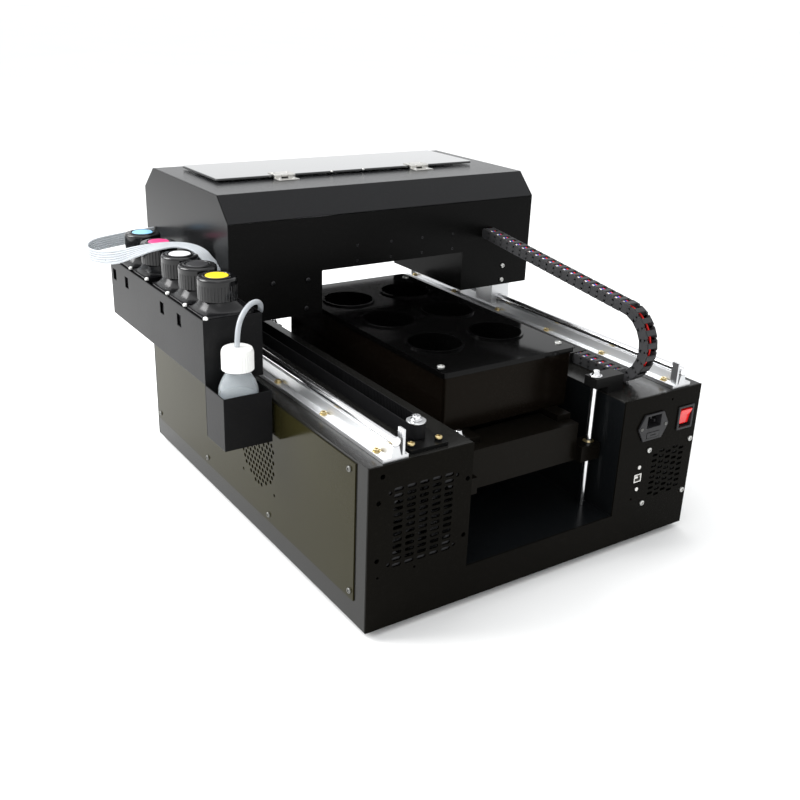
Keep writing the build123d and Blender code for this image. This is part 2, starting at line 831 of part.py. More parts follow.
with BuildPart() as lift_frame:
    for y in (beam_mid_y, beam_rear_y):
        with Locations((mid, y, beam_low)):
            Box(beam_w, beam_d, beam_h, align=on_floor)
        with Locations((mid, y, beam_low)):
            Box(
                beam_w - 2 * beam_wall,
                beam_d - 2 * beam_wall,
                beam_h - beam_wall,
                align=on_floor,
                mode=Mode.SUBTRACT,
            )
    for side in (-1, 1):
        with Locations((mid + side * (beam_w / 2 - side_bar_w / 2), front + screw_y, beam_top)):
            Box(side_bar_w, 2 * (screw_y - beam_front_y) - 30, bottom + box_z - beam_top, align=on_floor)
        for y in (front + rod_front_y, front + rod_rear_y):
            with Locations((mid + side * (beam_w / 2 + bush_block_w / 2), y, beam_low)):
                Box(bush_block_w, 24, bush_block_h, align=on_floor)
    with Locations((mid, front + screw_y, beam_low)):
        Box(30, beam_rear_y - beam_mid_y - beam_d, 8, align=on_floor)
    for x in rod_x:
        for y in rod_y:
            with Locations((x, y, beam_low + bush_block_h)):
                Hole(bush_r, depth=bush_block_h)
    with Locations((mid, front + screw_y, beam_low + 8)):
        Hole(bush_r, depth=8)
lift_frame.part.label = "lift_frame"
export_step(lift_frame.part, "parts/lift_frame.step")

with BuildPart() as lift_bushings:
    for x in rod_x:
        for y in rod_y:
            with Locations((x, y, beam_low)):
                Cylinder(bush_r, bush_block_h, align=on_floor)
                Cylinder(rod_r + running, bush_block_h, align=on_floor, mode=Mode.SUBTRACT)
    with Locations((mid, front + screw_y, beam_low)):
        Cylinder(bush_r, 18, align=on_floor)
        Cylinder(lead_screw_r + running, 18, align=on_floor, mode=Mode.SUBTRACT)
lift_bushings.part.label = "lift_bushings"
export_step(lift_bushings.part, "parts/lift_bushings.step")

platen_mid_y = front + platen_y + platen_len / 2
plate_low = bottom + platen_top - platen_t

with BuildPart() as platen_box:
    with Locations((mid, platen_mid_y, bottom + box_z)):
        Box(
            platen_w - 2 * box_inset,
            platen_len - 2 * box_inset,
            plate_low - bottom - box_z,
            align=on_floor,
        )
    fillet(platen_box.edges().filter_by(Axis.Z), platen_corner_r - 1)
    with Locations((mid, platen_mid_y, bottom + box_z + box_t)):
        Box(
            platen_w - 2 * box_inset - 2 * box_t,
            platen_len - 2 * box_inset - 2 * box_t,
            plate_low - bottom - box_z,
            align=on_floor,
            mode=Mode.SUBTRACT,
        )
    with Locations((mid, front + screw_y, bottom + box_z + box_t)):
        Hole(lead_screw_r + 4, depth=box_t)
platen_box.part.label = "platen_box"
export_step(platen_box.part, "parts/platen_box.step")

nest_rows = 3
nest_columns = 2
corner_screw_x = 2 * 86
corner_screw_y = platen_len - 40
platen_screw_r = 2

with BuildPart() as jig_plate:
    with BuildSketch(Plane.XY.offset(plate_low)):
        with Locations((mid, platen_mid_y)):
            RectangleRounded(platen_w, platen_len, platen_corner_r)
            with GridLocations(corner_screw_x, corner_screw_y, 2, 2):
                Circle(platen_screw_r, mode=Mode.SUBTRACT)
    extrude(amount=platen_t)
    with BuildSketch(Plane.XY.offset(plate_low - nest_sleeve_h)):
        with Locations((mid, front + nest_row_y)):
            with GridLocations(nest_pitch_x, nest_pitch_y, nest_columns, nest_rows):
                Circle(nest_r + 2)
    extrude(amount=nest_sleeve_h)
    with BuildSketch(Plane.XY.offset(plate_low + platen_t)):
        with Locations((mid, front + nest_row_y)):
            with GridLocations(nest_pitch_x, nest_pitch_y, nest_columns, nest_rows):
                Circle(nest_rim_r)
    extrude(amount=nest_rim_h)
    with Locations((mid, front + nest_row_y, plate_low + platen_t + nest_rim_h)):
        with GridLocations(nest_pitch_x, nest_pitch_y, nest_columns, nest_rows):
            Hole(nest_r)
jig_plate.part.label = "jig_plate"
export_step(jig_plate.part, "parts/jig_plate.step")

with BuildPart() as platen_screws:
    with Locations((mid, platen_mid_y, plate_low)):
        with GridLocations(corner_screw_x, corner_screw_y, 2, 2):
            Cylinder(platen_screw_r, platen_t, align=on_floor)
    with Locations((mid, platen_mid_y, plate_low + platen_t)):
        with GridLocations(corner_screw_x, corner_screw_y, 2, 2):
            Cone(4.5, 3, 1.8, align=on_floor)
platen_screws.part.label = "platen_screws"
export_step(platen_screws.part, "parts/platen_screws.step")

# ---------------------------------------------------------------- gantry
gantry_left = mid - gantry_w / 2
gantry_right = mid + gantry_w / 2
gantry_front_y = front + gantry_y
gantry_rear_y = rear + rear_overhang
leg_rear_y = gantry_front_y + gantry_leg_d
leg_low = bottom + gantry_leg_z
window_top = bottom + gantry_window_z
chamfer_low = bottom + gantry_chamfer_z
gantry_top = bottom + gantry_h
window_left = gantry_left + leg_left_w
window_right = gantry_right - leg_right_w
gantry_inner_w = gantry_w - 2 * sheet_t
chamfer_rise = gantry_h - gantry_chamfer_z
fold_drop = sheet_t * gantry_chamfer_front / hypot(gantry_chamfer_front, chamfer_rise)
front_screws = ((112.3, 282.9), (110, 246.4), (base_w - 52.4, 265.3), (base_w - 52.4, 245), (64.3, 284.1))
rail_bolt_x = (184, 235, 284, 334)
rail_bolt_z = (299, 319)

with BuildPart() as gantry_front:
    with BuildSketch(facing_front(gantry_front_y)):
        with Locations((gantry_left + sheet_t, leg_low)):
            Rectangle(gantry_inner_w, chamfer_low - fold_drop - leg_low, align=low_corner)
        with Locations((window_left, leg_low)):
            Rectangle(window_right - window_left, window_top - leg_low, align=low_corner, mode=Mode.SUBTRACT)
        with Locations([(left + x, bottom + z) for x, z in front_screws]):
            Circle(screw_r, mode=Mode.SUBTRACT)
        with Locations([(left + x, bottom + z) for x in rail_bolt_x for z in rail_bolt_z]):
            Circle(2, mode=Mode.SUBTRACT)
    extrude(amount=-plate_t)
gantry_front.part.label = "gantry_front"
export_step(gantry_front.part, "parts/gantry_front.step")

hatch_x = left + lid_x + hatch_lap
hatch_w = lid_w - 2 * hatch_lap
hatch_y = front + lid_y + hatch_lap
hatch_d = lid_d - 2 * hatch_lap

with BuildPart() as gantry_cover:
    with BuildSketch(facing_side(gantry_left + sheet_t)):
        with BuildLine():
            bend = Polyline(
                (gantry_front_y, chamfer_low),
                (gantry_front_y + gantry_chamfer_front, gantry_top),
                (gantry_rear_y - gantry_chamfer_rear, gantry_top),
                (gantry_rear_y, chamfer_low),
                (gantry_rear_y, window_top),
            )
            offset(bend, amount=sheet_t, side=Side.RIGHT)
        make_face()
    extrude(amount=gantry_inner_w)
    with Locations((hatch_x, hatch_y, gantry_top - sheet_t)):
        Box(hatch_w, hatch_d, sheet_t, align=low_corner_3d, mode=Mode.SUBTRACT)
gantry_cover.part.label = "gantry_cover"
export_step(gantry_cover.part, "parts/gantry_cover.step")

with BuildPart() as gantry_ends:
    for x in (gantry_left, gantry_right - sheet_t):
        with BuildSketch(facing_side(x)):
            with BuildLine():
                Polyline(
                    (gantry_front_y, leg_low),
                    (gantry_front_y, chamfer_low),
                    (gantry_front_y + gantry_chamfer_front, gantry_top),
                    (gantry_rear_y - gantry_chamfer_rear, gantry_top),
                    (gantry_rear_y, chamfer_low),
                    (gantry_rear_y, window_top),
                    (leg_rear_y, window_top),
                    (leg_rear_y, leg_low),
                    close=True,
                )
            make_face()
        extrude(amount=sheet_t)
gantry_ends.part.label = "gantry_ends"
export_step(gantry_ends.part, "parts/gantry_ends.step")

head_slot_y = 398
head_slot_d = 74
floor_t = 2
leg_floor_t = 2
inside_front = gantry_front_y + plate_t

with BuildPart() as gantry_chassis:
    with Locations((gantry_left + sheet_t, inside_front, window_top)):
        Box(gantry_inner_w, gantry_rear_y - sheet_t - inside_front, floor_t, align=low_corner_3d)
    for low_x, high_x, inner_wall in (
        (gantry_left + sheet_t, window_left, window_left - sheet_t),
        (window_right, gantry_right - sheet_t, window_right),
    ):
        leg_w = high_x - low_x
        with Locations((low_x, inside_front, leg_low)):
            Box(leg_w, leg_rear_y - inside_front, leg_floor_t, align=low_corner_3d)
        with Locations((low_x, leg_rear_y - sheet_t, leg_low)):
            Box(leg_w, sheet_t, window_top - leg_low, align=low_corner_3d)
        with Locations((inner_wall, inside_front, leg_low)):
            Box(sheet_t, leg_rear_y - inside_front, window_top - leg_low, align=low_corner_3d)
    with Locations((mid - gantry_inner_w / 2 + 12, front + head_slot_y, window_top)):
        Box(gantry_inner_w - 24, head_slot_d, floor_t, align=low_corner_3d, mode=Mode.SUBTRACT)
gantry_chassis.part.label = "gantry_chassis"
export_step(gantry_chassis.part, "parts/gantry_chassis.step")

with BuildPart() as gantry_screws:
    with BuildSketch(facing_front(gantry_front_y)):
        with Locations([(left + x, bottom + z) for x, z in front_screws]):
            Circle(head_r)
    extrude(amount=side_head_h - 0.4, taper=12)
    with BuildSketch(facing_front(gantry_front_y)):
        with Locations([(left + x, bottom + z) for x, z in front_screws]):
            Circle(screw_r)
    extrude(amount=-plate_t)
gantry_screws.part.label = "gantry_screws"
export_step(gantry_screws.part, "parts/gantry_screws.step")

block_half_w = 16
block_low = 13
block_d = 36
block_y = (352, 448)

with BuildPart() as bearing_blocks:
    for rail_x in (rail_left, rail_right):
        for y in block_y:
            with BuildSketch(facing_front(front + y)):
                with Locations((rail_x - block_half_w, deck + block_low)):
                    Rectangle(2 * block_half_w, leg_low - deck - block_low, align=low_corner)
                with Locations((rail_x, deck + rail_shaft_h)):
                    Circle(rail_shaft_r + running, mode=Mode.SUBTRACT)
                with Locations((rail_x, deck + block_low)):
                    Rectangle(rail_neck_w + 3, 2 * 4.5, mode=Mode.SUBTRACT)
            extrude(amount=-block_d)
bearing_blocks.part.label = "bearing_blocks"
export_step(bearing_blocks.part, "parts/bearing_blocks.step")

clamp_w = 14
clamp_y = 440
clamp_d = 30
belt_run_x = idler_x + belt_r

with BuildPart() as belt_clamp:
    with BuildSketch(facing_front(front + clamp_y)):
        with Locations((belt_run_x + belt_t / 2, belt_low - 1)):
            Rectangle(clamp_w, leg_low - belt_low + 1, align=(Align.CENTER, Align.MIN))
            Rectangle(
                belt_t + 2 * body_gap,
                belt_h + 1 + body_gap,
                align=(Align.CENTER, Align.MIN),
                mode=Mode.SUBTRACT,
            )
    extrude(amount=-clamp_d)
belt_clamp.part.label = "belt_clamp"
export_step(belt_clamp.part, "parts/belt_clamp.step")

# ---------------------------------------------------------------- cross rail and carriage
cross_rod_r = 5
cross_rod_y = (388, 482)
cross_z = 330
carriage_w = 80
carriage_inset = 61
carriage_h = 24
carriage_low = 316
head_w = 50
head_d = 56
lamp_w = 24

with BuildPart() as cross_rail:
    for y in cross_rod_y:
        with BuildSketch(facing_side(gantry_left + sheet_t)):
            with Locations((front + y, bottom + cross_z)):
                Circle(cross_rod_r)
        extrude(amount=gantry_inner_w)
    with Locations((gantry_left + sheet_t, front + cross_rod_y[1] + 24, window_top + floor_t)):
        Box(gantry_inner_w, 6, 50, align=low_corner_3d)
cross_rail.part.label = "cross_rail"
export_step(cross_rail.part, "parts/cross_rail.step")

carriage_x = gantry_right - carriage_inset

with BuildPart() as print_carriage:
    with BuildSketch(facing_side(carriage_x - carriage_w / 2)):
        with Locations((front + cross_rod_y[0] - 9, bottom + carriage_low)):
            Rectangle(cross_rod_y[1] - cross_rod_y[0] + 18, carriage_h, align=low_corner)
        for y in cross_rod_y:
            with Locations((front + y, bottom + cross_z)):
                Circle(cross_rod_r + running, mode=Mode.SUBTRACT)
    extrude(amount=carriage_w)
print_carriage.part.label = "print_carriage"
export_step(print_carriage.part, "parts/print_carriage.step")

head_low = gantry_window_z + 1
head_mid_y = front + (cross_rod_y[0] + cross_rod_y[1]) / 2

with BuildPart() as print_head:
    with Locations((carriage_x + 14, head_mid_y, bottom + head_low)):
        Box(head_w, head_d, carriage_low - head_low, align=on_floor)
    with Locations((carriage_x - carriage_w / 2 + lamp_w / 2 - 4, head_mid_y, bottom + head_low + 2)):
        Box(lamp_w - 1, head_d, carriage_low - head_low - 2, align=on_floor)
print_head.part.label = "print_head"
export_step(print_head.part, "parts/print_head.step")

cap_station_h = 40

with BuildPart() as capping_station:
    with Locations((carriage_x + 14, head_mid_y, leg_low + leg_floor_t)):
        Box(head_w + 6, head_d + 6, cap_station_h, align=on_floor)
    with Locations((carriage_x + 14, head_mid_y, leg_low + leg_floor_t + cap_station_h)):
        Box(head_w - 6, head_d - 8, 10, align=on_floor, mode=Mode.SUBTRACT)
    with Locations((carriage_x + 14, head_mid_y, leg_low + leg_floor_t + cap_station_h - 6)):
        Box(head_w - 10, head_d - 12, 6, align=on_floor, mode=Mode.SUBTRACT)
capping_station.part.label = "capping_station"
export_step(capping_station.part, "parts/capping_station.step")

with BuildPart() as cross_motor:
    with Locations((gantry_left + 40, gantry_rear_y - 40, window_top + floor_t)):
        Box(motor_w, motor_w, motor_h, align=on_floor)
    fillet(cross_motor.edges().filter_by(Axis.Z), 4)
    with Locations((gantry_left + 40, gantry_rear_y - 40, window_top + floor_t + motor_h)):
        Cylinder(motor_shaft_r, 12, align=on_floor)
        Cylinder(7, 8, align=on_floor)
cross_motor.part.label = "cross_motor"
export_step(cross_motor.part, "parts/cross_motor.step")

# ---------------------------------------------------------------- lid on butt hinges
lid_low = gantry_top + lid_gap
hinge_axis_z = bottom + hinge_z
knuckle = hinge_w / 3
lid_hinge_gap = 0.3

with BuildPart() as lid:
    with BuildSketch(Plane.XY.offset(lid_low)):
        with Locations((left + lid_x + lid_w / 2, front + lid_y + lid_d / 2)):
            RectangleRounded(lid_w, lid_d, 3)
    extrude(amount=lid_t)
lid.part.label = "lid"
export_step(lid.part, "parts/lid.step")

with BuildPart() as lid_leaves:
    for x in hinge_centres:
        with Locations((left + x, front + lid_y, lid_low + lid_t)):
            Box(hinge_w, hinge_leaf_d, hinge_leaf_t, align=(Align.CENTER, Align.MIN, Align.MIN))
        with BuildSketch(facing_side(left + x - knuckle / 2 + lid_hinge_gap)):
            with Locations((front + hinge_y, hinge_axis_z)):
                Circle(hinge_r)
                with Locations((0, lid_low + lid_t - hinge_axis_z)):
                    Rectangle(4, hinge_leaf_t, align=low_corner)
                Circle(hinge_pin_r + running, mode=Mode.SUBTRACT)
        extrude(amount=knuckle - 2 * lid_hinge_gap)
lid_leaves.part.label = "lid_leaves"
export_step(lid_leaves.part, "parts/lid_leaves.step")

with BuildPart() as hinge_leaves:
    for x in hinge_centres:
        with Locations((left + x, front + hinge_y - 1, gantry_top)):
            Box(hinge_w, hinge_leaf_d, hinge_leaf_t, align=(Align.CENTER, Align.MAX, Align.MIN))
        for side in (-1, 1):
            start = left + x - knuckle / 2 + side * knuckle
            with BuildSketch(facing_side(start)):
                with Locations((front + hinge_y, hinge_axis_z)):
                    Circle(hinge_r)
                    with Locations((-2, gantry_top - hinge_axis_z)):
                        Rectangle(2.4, hinge_axis_z - gantry_top, align=low_corner)
            extrude(amount=knuckle)
        with BuildSketch(facing_side(left + x - hinge_w / 2)):
            with Locations((front + hinge_y, hinge_axis_z)):
                Circle(hinge_pin_r)
        extrude(amount=hinge_w)
hinge_leaves.part.label = "hinge_leaves"
export_step(hinge_leaves.part, "parts/hinge_leaves.step")

# ---------------------------------------------------------------- ink tray, tanks and caps
tray_left = left - ink_overhang
tray_w = gantry_left - tray_left
tray_low = bottom + tray_z
holder_low = bottom + holder_z
tray_windows = ((533.6, 261), (487.8, 261), (365, 261), (312, 261))
window_w = 11.5

with BuildPart() as ink_tray:
    with Locations((tray_left, front + tray_y, tray_low)):
        Box(tray_w, tray_len, tray_h, align=low_corner_3d)
    with Locations((tray_left + sheet_t, front + tray_y + sheet_t, tray_low + sheet_t)):
        Box(
            tray_w - 2 * sheet_t,
            tray_len - 2 * sheet_t,
            tray_h,
            align=low_corner_3d,
            mode=Mode.SUBTRACT,
        )
    with Locations((tray_left, front + tray_y, holder_low)):
        Box(holder_w, sheet_t, tray_low - holder_low, align=low_corner_3d)
    with BuildSketch(facing_side(tray_left)):
        with Locations([(front + y, bottom + z) for y, z in tray_windows]):
            Rectangle(window_w, 14)
    extrude(amount=sheet_t, mode=Mode.SUBTRACT)
ink_tray.part.label = "ink_tray"
export_step(ink_tray.part, "parts/ink_tray.step")

tank_left = tray_left + sheet_t + 1
tank_low = tray_low + sheet_t
neck_low = tank_low + tank_h + tank_shoulder_h

with BuildPart() as ink_tanks:
    for tank_front in tank_fronts:
        with BuildSketch(Plane.XY.offset(tank_low)):
            with Locations((tank_left, front + tank_front)):
                Rectangle(tank_d, tank_w, align=low_corner)
        extrude(amount=tank_h)
        with BuildSketch(Plane.XY.offset(tank_low + tank_h)):
            with Locations((tank_left, front + tank_front)):
                Rectangle(tank_d, tank_w, align=low_corner)
        with BuildSketch(Plane.XY.offset(neck_low)):
            with Locations((left - cap_x, front + tank_front + cap_y)):
                Rectangle(2 * neck_r + 4, 2 * neck_r + 4)
        loft()
        with Locations((left - cap_x, front + tank_front + cap_y, neck_low)):
            Cylinder(neck_r, bottom + cap_z + 12 - neck_low, align=on_floor)
ink_tanks.part.label = "ink_tanks"
export_step(ink_tanks.part, "parts/ink_tanks.step")

cap_names = ("ink_cap_yellow", "ink_cap_black", "ink_cap_white", "ink_cap_magenta", "ink_cap_blue")
cap_wall = 3
rib_n = 36

for name, tank_front in zip(cap_names, tank_fronts):
    with BuildPart() as ink_cap:
        with Locations((left - cap_x, front + tank_front + cap_y, bottom + cap_z)):
            Cylinder(cap_r, cap_h, align=on_floor)
            fillet(ink_cap.edges().filter_by(GeomType.CIRCLE).group_by(Axis.Z)[-1], 3)
            Cylinder(neck_r + body_gap, cap_h - cap_wall - 8, align=on_floor, mode=Mode.SUBTRACT)
            with PolarLocations(cap_r + 0.4, rib_n):
                Cylinder(0.9, cap_h - 8, align=on_floor, mode=Mode.SUBTRACT)
    ink_cap.part.label = name
    export_step(ink_cap.part, f"parts/{name}.step")

with BuildPart() as bottle_holder:
    with Locations((tray_left, front + holder_y, holder_low)):
        Box(holder_w, tray_y - holder_y, holder_h, align=low_corner_3d)
    with Locations((tray_left + sheet_t, front + holder_y + sheet_t, holder_low + sheet_t)):
        Box(
            holder_w - 2 * sheet_t,
            tray_y - holder_y,
            holder_h,
            align=low_corner_3d,
            mode=Mode.SUBTRACT,
        )
bottle_holder.part.label = "bottle_holder"
export_step(bottle_holder.part, "parts/bottle_holder.step")

bottle_x = tray_left + holder_w / 2
bottle_y = front + holder_y + sheet_t + bottle_r + 0.5
bottle_low = holder_low + sheet_t
bottle_cap_low = bottom + bottle_z
bottle_wall = 1.2

with BuildPart() as waste_bottle:
    with BuildSketch(Plane(origin=(bottle_x, bottle_y, bottle_low), x_dir=(1, 0, 0), z_dir=(0, -1, 0))):
        with BuildLine():
            Polyline(
                (0, 0),
                (bottle_r, 0),
                (bottle_r, bottle_h - 6),
                (bottle_neck_r, bottle_h + 12),
                (bottle_neck_r, bottle_cap_low - bottle_low - body_gap),
                (bottle_neck_r - bottle_wall, bottle_cap_low - bottle_low - body_gap),
                (bottle_neck_r - bottle_wall, bottle_h + 12),
                (bottle_r - bottle_wall, bottle_h - 6.5),
                (bottle_r - bottle_wall, bottle_wall),
                (0, bottle_wall),
                close=True,
            )
        make_face()
    revolve(axis=Axis((bottle_x, bottle_y, 0), (0, 0, 1)))
    with BuildSketch(Plane.XY.offset(bottle_cap_low)):
        with Locations((bottle_x, bottle_y)):
            Circle(bottle_cap_r)
    extrude(amount=bottle_cap_h)
waste_bottle.part.label = "waste_bottle"
export_step(waste_bottle.part, "parts/waste_bottle.step")

# ---------------------------------------------------------------- drag chain
chain_low = bottom + chain_low_z
chain_bend_z = chain_low + chain_bend_r
chain_left = left + chain_x
chain_half = chain_t / 2
bend_y = front + chain_bend_y
chain_top = chain_bend_z + chain_bend_r

with BuildPart() as drag_chain_upper:
    with BuildSketch(facing_side(chain_left)):
        with BuildLine():
            Polyline(
                (bend_y + body_gap, chain_top - chain_half),
                (bend_y + body_gap, chain_top + chain_half),
                (gantry_front_y, bottom + chain_gantry_z + chain_half),
                (gantry_front_y, bottom + chain_gantry_z - chain_half),
                close=True,
            )
        make_face()
    extrude(amount=chain_w)
drag_chain_upper.part.label = "drag_chain_upper"
export_step(drag_chain_upper.part, "parts/drag_chain_upper.step")

with BuildPart() as drag_chain_bend:
    with BuildSketch(facing_side(chain_left)):
        with Locations((bend_y, chain_bend_z)):
            Circle(chain_bend_r + chain_half)
            Circle(chain_bend_r - chain_half, mode=Mode.SUBTRACT)
            Rectangle(
                2 * chain_bend_r + 2 * chain_t,
                2 * chain_bend_r + 2 * chain_t,
                align=(Align.MIN, Align.CENTER),
                mode=Mode.SUBTRACT,
            )
    extrude(amount=chain_w)
drag_chain_bend.part.label = "drag_chain_bend"
export_step(drag_chain_bend.part, "parts/drag_chain_bend.step")

with BuildPart() as drag_chain_lower:
    with Locations((chain_left, bend_y + body_gap, chain_low - chain_half + 0.5)):
        Box(chain_w, chain_end_y - chain_bend_y, chain_t - 0.5, align=low_corner_3d)
drag_chain_lower.part.label = "drag_chain_lower"
export_step(drag_chain_lower.part, "parts/drag_chain_lower.step")


# ---------------------------------------------------------------- ink ribbon and waste tube
def rounded_route(name, points):
    """Straight runs joined by arcs, each as large as its two runs allow."""
    corners = [Vector(*point) for point in points]
    radii = []
    for before, here, after in zip(corners, corners[1:], corners[2:]):
        turn = (here - before).get_angle(after - here)
        run = min((here - before).length, (after - here).length)
        radii.append(0.45 * run / tan(radians(turn) / 2))
    print(name, "arc radii", [round(radius, 1) for radius in radii])
    return FilletPolyline(*corners, radius=radii)


def at(points):
    """Points given from the base's front left corner, in the model's frame."""
    return [(left + x, front + y, bottom + z) for x, y, z in points]


ribbon_r = 3.5
ribbon_route = (
    (7, 352, 301),
    (-3, 364, 312),
    (-7, 386, 322.6),
    (-23, 407, 324.5),
    (-46, 421, 321),
    (-66, 440, 312),
    (-80, 466, 301),
    (-92, 502, 293),
    (-98, 538, 292),
    (-82, 566, 294),
    (-50, 574, 296),
    (-20, 573, 299),
    (7, 570, 302),
)
waste_route = (
    (-35.2, 218.5, 253),
    (-34, 220, 268),
    (-27, 225, 284),
    (-12, 232, 296),
    (3, 240, 294),
    (11, 252, 281),
    (14, 268, 268),
    (15, 290, 261),
    (17, 310, 262),
    (18, 329, 264),
)

with BuildPart() as ink_ribbon:
    with BuildLine():
        route = rounded_route("ribbon", at(ribbon_route))
    with BuildSketch(Plane(origin=route @ 0, z_dir=route % 0)):
        Circle(ribbon_r)
    sweep(path=route)
ink_ribbon.part.label = "ink_ribbon"
export_step(ink_ribbon.part, "parts/ink_ribbon.step")
print("ribbon volume ratio", ink_ribbon.part.volume / (pi * ribbon_r**2 * route.length))

with BuildPart() as waste_tube:
    with BuildLine():
        route = rounded_route("waste tube", at(waste_route))
    with BuildSketch(Plane(origin=route @ 0, z_dir=route % 0)):
        Circle(waste_tube_r)
    sweep(path=route)
waste_tube.part.label = "waste_tube"
export_step(waste_tube.part, "parts/waste_tube.step")
print("waste tube volume ratio", waste_tube.part.volume / (pi * waste_tube_r**2 * route.length))
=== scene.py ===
import json
import math
import random

import bmesh
import bpy
from mathutils import Matrix, Quaternion, Vector

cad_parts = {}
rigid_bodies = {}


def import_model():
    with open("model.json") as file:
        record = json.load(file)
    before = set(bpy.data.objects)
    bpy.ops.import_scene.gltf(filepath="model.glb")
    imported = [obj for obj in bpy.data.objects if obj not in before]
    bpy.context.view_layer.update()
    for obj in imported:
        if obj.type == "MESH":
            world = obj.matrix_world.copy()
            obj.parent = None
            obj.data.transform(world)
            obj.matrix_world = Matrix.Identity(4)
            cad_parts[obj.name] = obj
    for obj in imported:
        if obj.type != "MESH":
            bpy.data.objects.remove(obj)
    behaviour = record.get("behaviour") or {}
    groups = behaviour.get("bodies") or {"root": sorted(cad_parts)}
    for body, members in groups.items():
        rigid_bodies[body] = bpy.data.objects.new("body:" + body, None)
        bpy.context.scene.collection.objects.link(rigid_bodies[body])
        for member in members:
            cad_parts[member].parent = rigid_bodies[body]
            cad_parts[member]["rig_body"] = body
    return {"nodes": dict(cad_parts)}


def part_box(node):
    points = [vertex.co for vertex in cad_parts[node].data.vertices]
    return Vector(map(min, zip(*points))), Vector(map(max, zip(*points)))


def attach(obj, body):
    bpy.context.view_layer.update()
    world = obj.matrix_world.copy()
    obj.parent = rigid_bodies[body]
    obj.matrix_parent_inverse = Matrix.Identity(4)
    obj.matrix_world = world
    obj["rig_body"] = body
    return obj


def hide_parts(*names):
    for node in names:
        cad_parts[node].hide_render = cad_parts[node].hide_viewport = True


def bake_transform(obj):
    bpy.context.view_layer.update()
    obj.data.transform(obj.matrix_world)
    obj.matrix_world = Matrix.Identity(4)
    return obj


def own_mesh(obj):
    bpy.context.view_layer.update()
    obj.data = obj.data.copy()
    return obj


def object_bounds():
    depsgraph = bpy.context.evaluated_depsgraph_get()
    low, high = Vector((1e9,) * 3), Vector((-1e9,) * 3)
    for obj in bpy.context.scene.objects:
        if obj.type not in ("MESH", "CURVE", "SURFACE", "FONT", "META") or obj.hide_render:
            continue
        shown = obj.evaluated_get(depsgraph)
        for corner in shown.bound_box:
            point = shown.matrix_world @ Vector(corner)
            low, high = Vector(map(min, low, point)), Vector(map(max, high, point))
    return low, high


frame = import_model()
cad_low, cad_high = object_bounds()

# ------------------------ camera
# The camera stands in front of the machine's left corner and above it, and leans
# a little to one side. Its place is given from the base's lower front left corner.
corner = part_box("front_plate")[0]


def from_corner(x, y, z):
    """A point given in millimetres from the base's lower front left corner."""
    return corner + Vector((x, y, z)) / 1000


camera_turn = math.radians(-34.36)
camera_rise = math.radians(22.36)
camera_lean = math.radians(2.16)
camera_back = Vector((
    math.sin(camera_turn) * math.cos(camera_rise),
    -math.cos(camera_turn) * math.cos(camera_rise),
    math.sin(camera_rise),
))
camera_data = bpy.data.cameras.new("camera")
camera_data.lens = 44.29
camera_data.sensor_width = 36
camera = bpy.data.objects.new("camera", camera_data)
bpy.context.scene.collection.objects.link(camera)
camera.rotation_mode = "QUATERNION"
camera.location = from_corner(-457.61, -717.42, 613.72)
camera_aim = camera_back.to_track_quat("Z", "Y")
camera.rotation_quaternion = camera_aim @ Quaternion((0, 0, 1), camera_lean)
bpy.context.scene.camera = camera


# ------------------------ ink ribbon
# Six silicone ink tubes welded side by side. The ribbon leaves the gantry's left end, lies flat
# over the caps, twists on to its edge beside them, and goes back in behind the last tank.
class Field:
    """A socket of a finish's node tree, so that its maths is written as plain expressions."""

    def __init__(self, tree, socket=None):
        self.tree = tree
        self.socket = socket

    def node(self, kind, settings=None, inputs=None, output=0):
        """Adds any node: its settings first, then the values or links of its sockets."""
        made = self.tree.nodes.new("ShaderNode" + kind)
        for name, value in (settings or {}).items():
            if name == "stops":
                steps = made.color_ramp.elements
                while len(steps) < len(value):
                    steps.new(1.0)
                for step, (position, colour) in zip(steps, value):
                    step.position = position
                    step.color = colour
            else:
                setattr(made, name, value)
        for name, value in (inputs or {}).items():
            if isinstance(value, Field):
                self.tree.links.new(value.socket, made.inputs[name])
            else:
                made.inputs[name].default_value = value
        return Field(self.tree, made.outputs[output])

    def maths(self, operation, first, second):
        return self.node("Math", {"operation": operation}, {0: first, 1: second})

    def __add__(self, other):
        return self.maths("ADD", self, other)

    def __radd__(self, other):
        return self.maths("ADD", other, self)

    def __mul__(self, other):
        return self.maths("MULTIPLY", self, other)

    def __rmul__(self, other):
        return self.maths("MULTIPLY", other, self)

    def __gt__(self, other):
        return self.maths("GREATER_THAN", self, other)

    def noise(self, scale, stretch=(1, 1, 1), detail=3.0):
        """Cloudy noise from 0 to 1, in the piece's own space; scale is clouds in a metre."""
        place = self.node("TexCoord", output=3)
        place = self.node("Mapping", inputs={"Vector": place, "Scale": stretch})
        return self.node("TexNoise", inputs={"Vector": place, "Scale": scale, "Detail": detail})

    def mix(self, low, high):
        """A colour or field from low to high, as this field goes from 0 to 1."""
        return self.node("Mix", {"data_type": "RGBA"}, {0: self, 6: low, 7: high}, output=2)

    def tint(self, low, high):
        """As mix, between two plain colours without alpha."""
        return self.mix((*low, 1), (*high, 1))

    def bump(self, strength, distance):
        """A normal that follows this field as a height."""
        sockets = {"Strength": strength, "Distance": distance, "Height": self}
        return self.node("Bump", inputs=sockets)


def finish(name, build):
    """A material whose shader sockets are what build returns for a blank field."""
    material = bpy.data.materials.new(name)
    material.use_nodes = True
    tree = material.node_tree
    shader = tree.nodes["Principled BSDF"]
    for socket, value in build(Field(tree)).items():
        if isinstance(value, Field):
            tree.links.new(value.socket, shader.inputs[socket])
        else:
            shader.inputs[socket].default_value = value
    return material


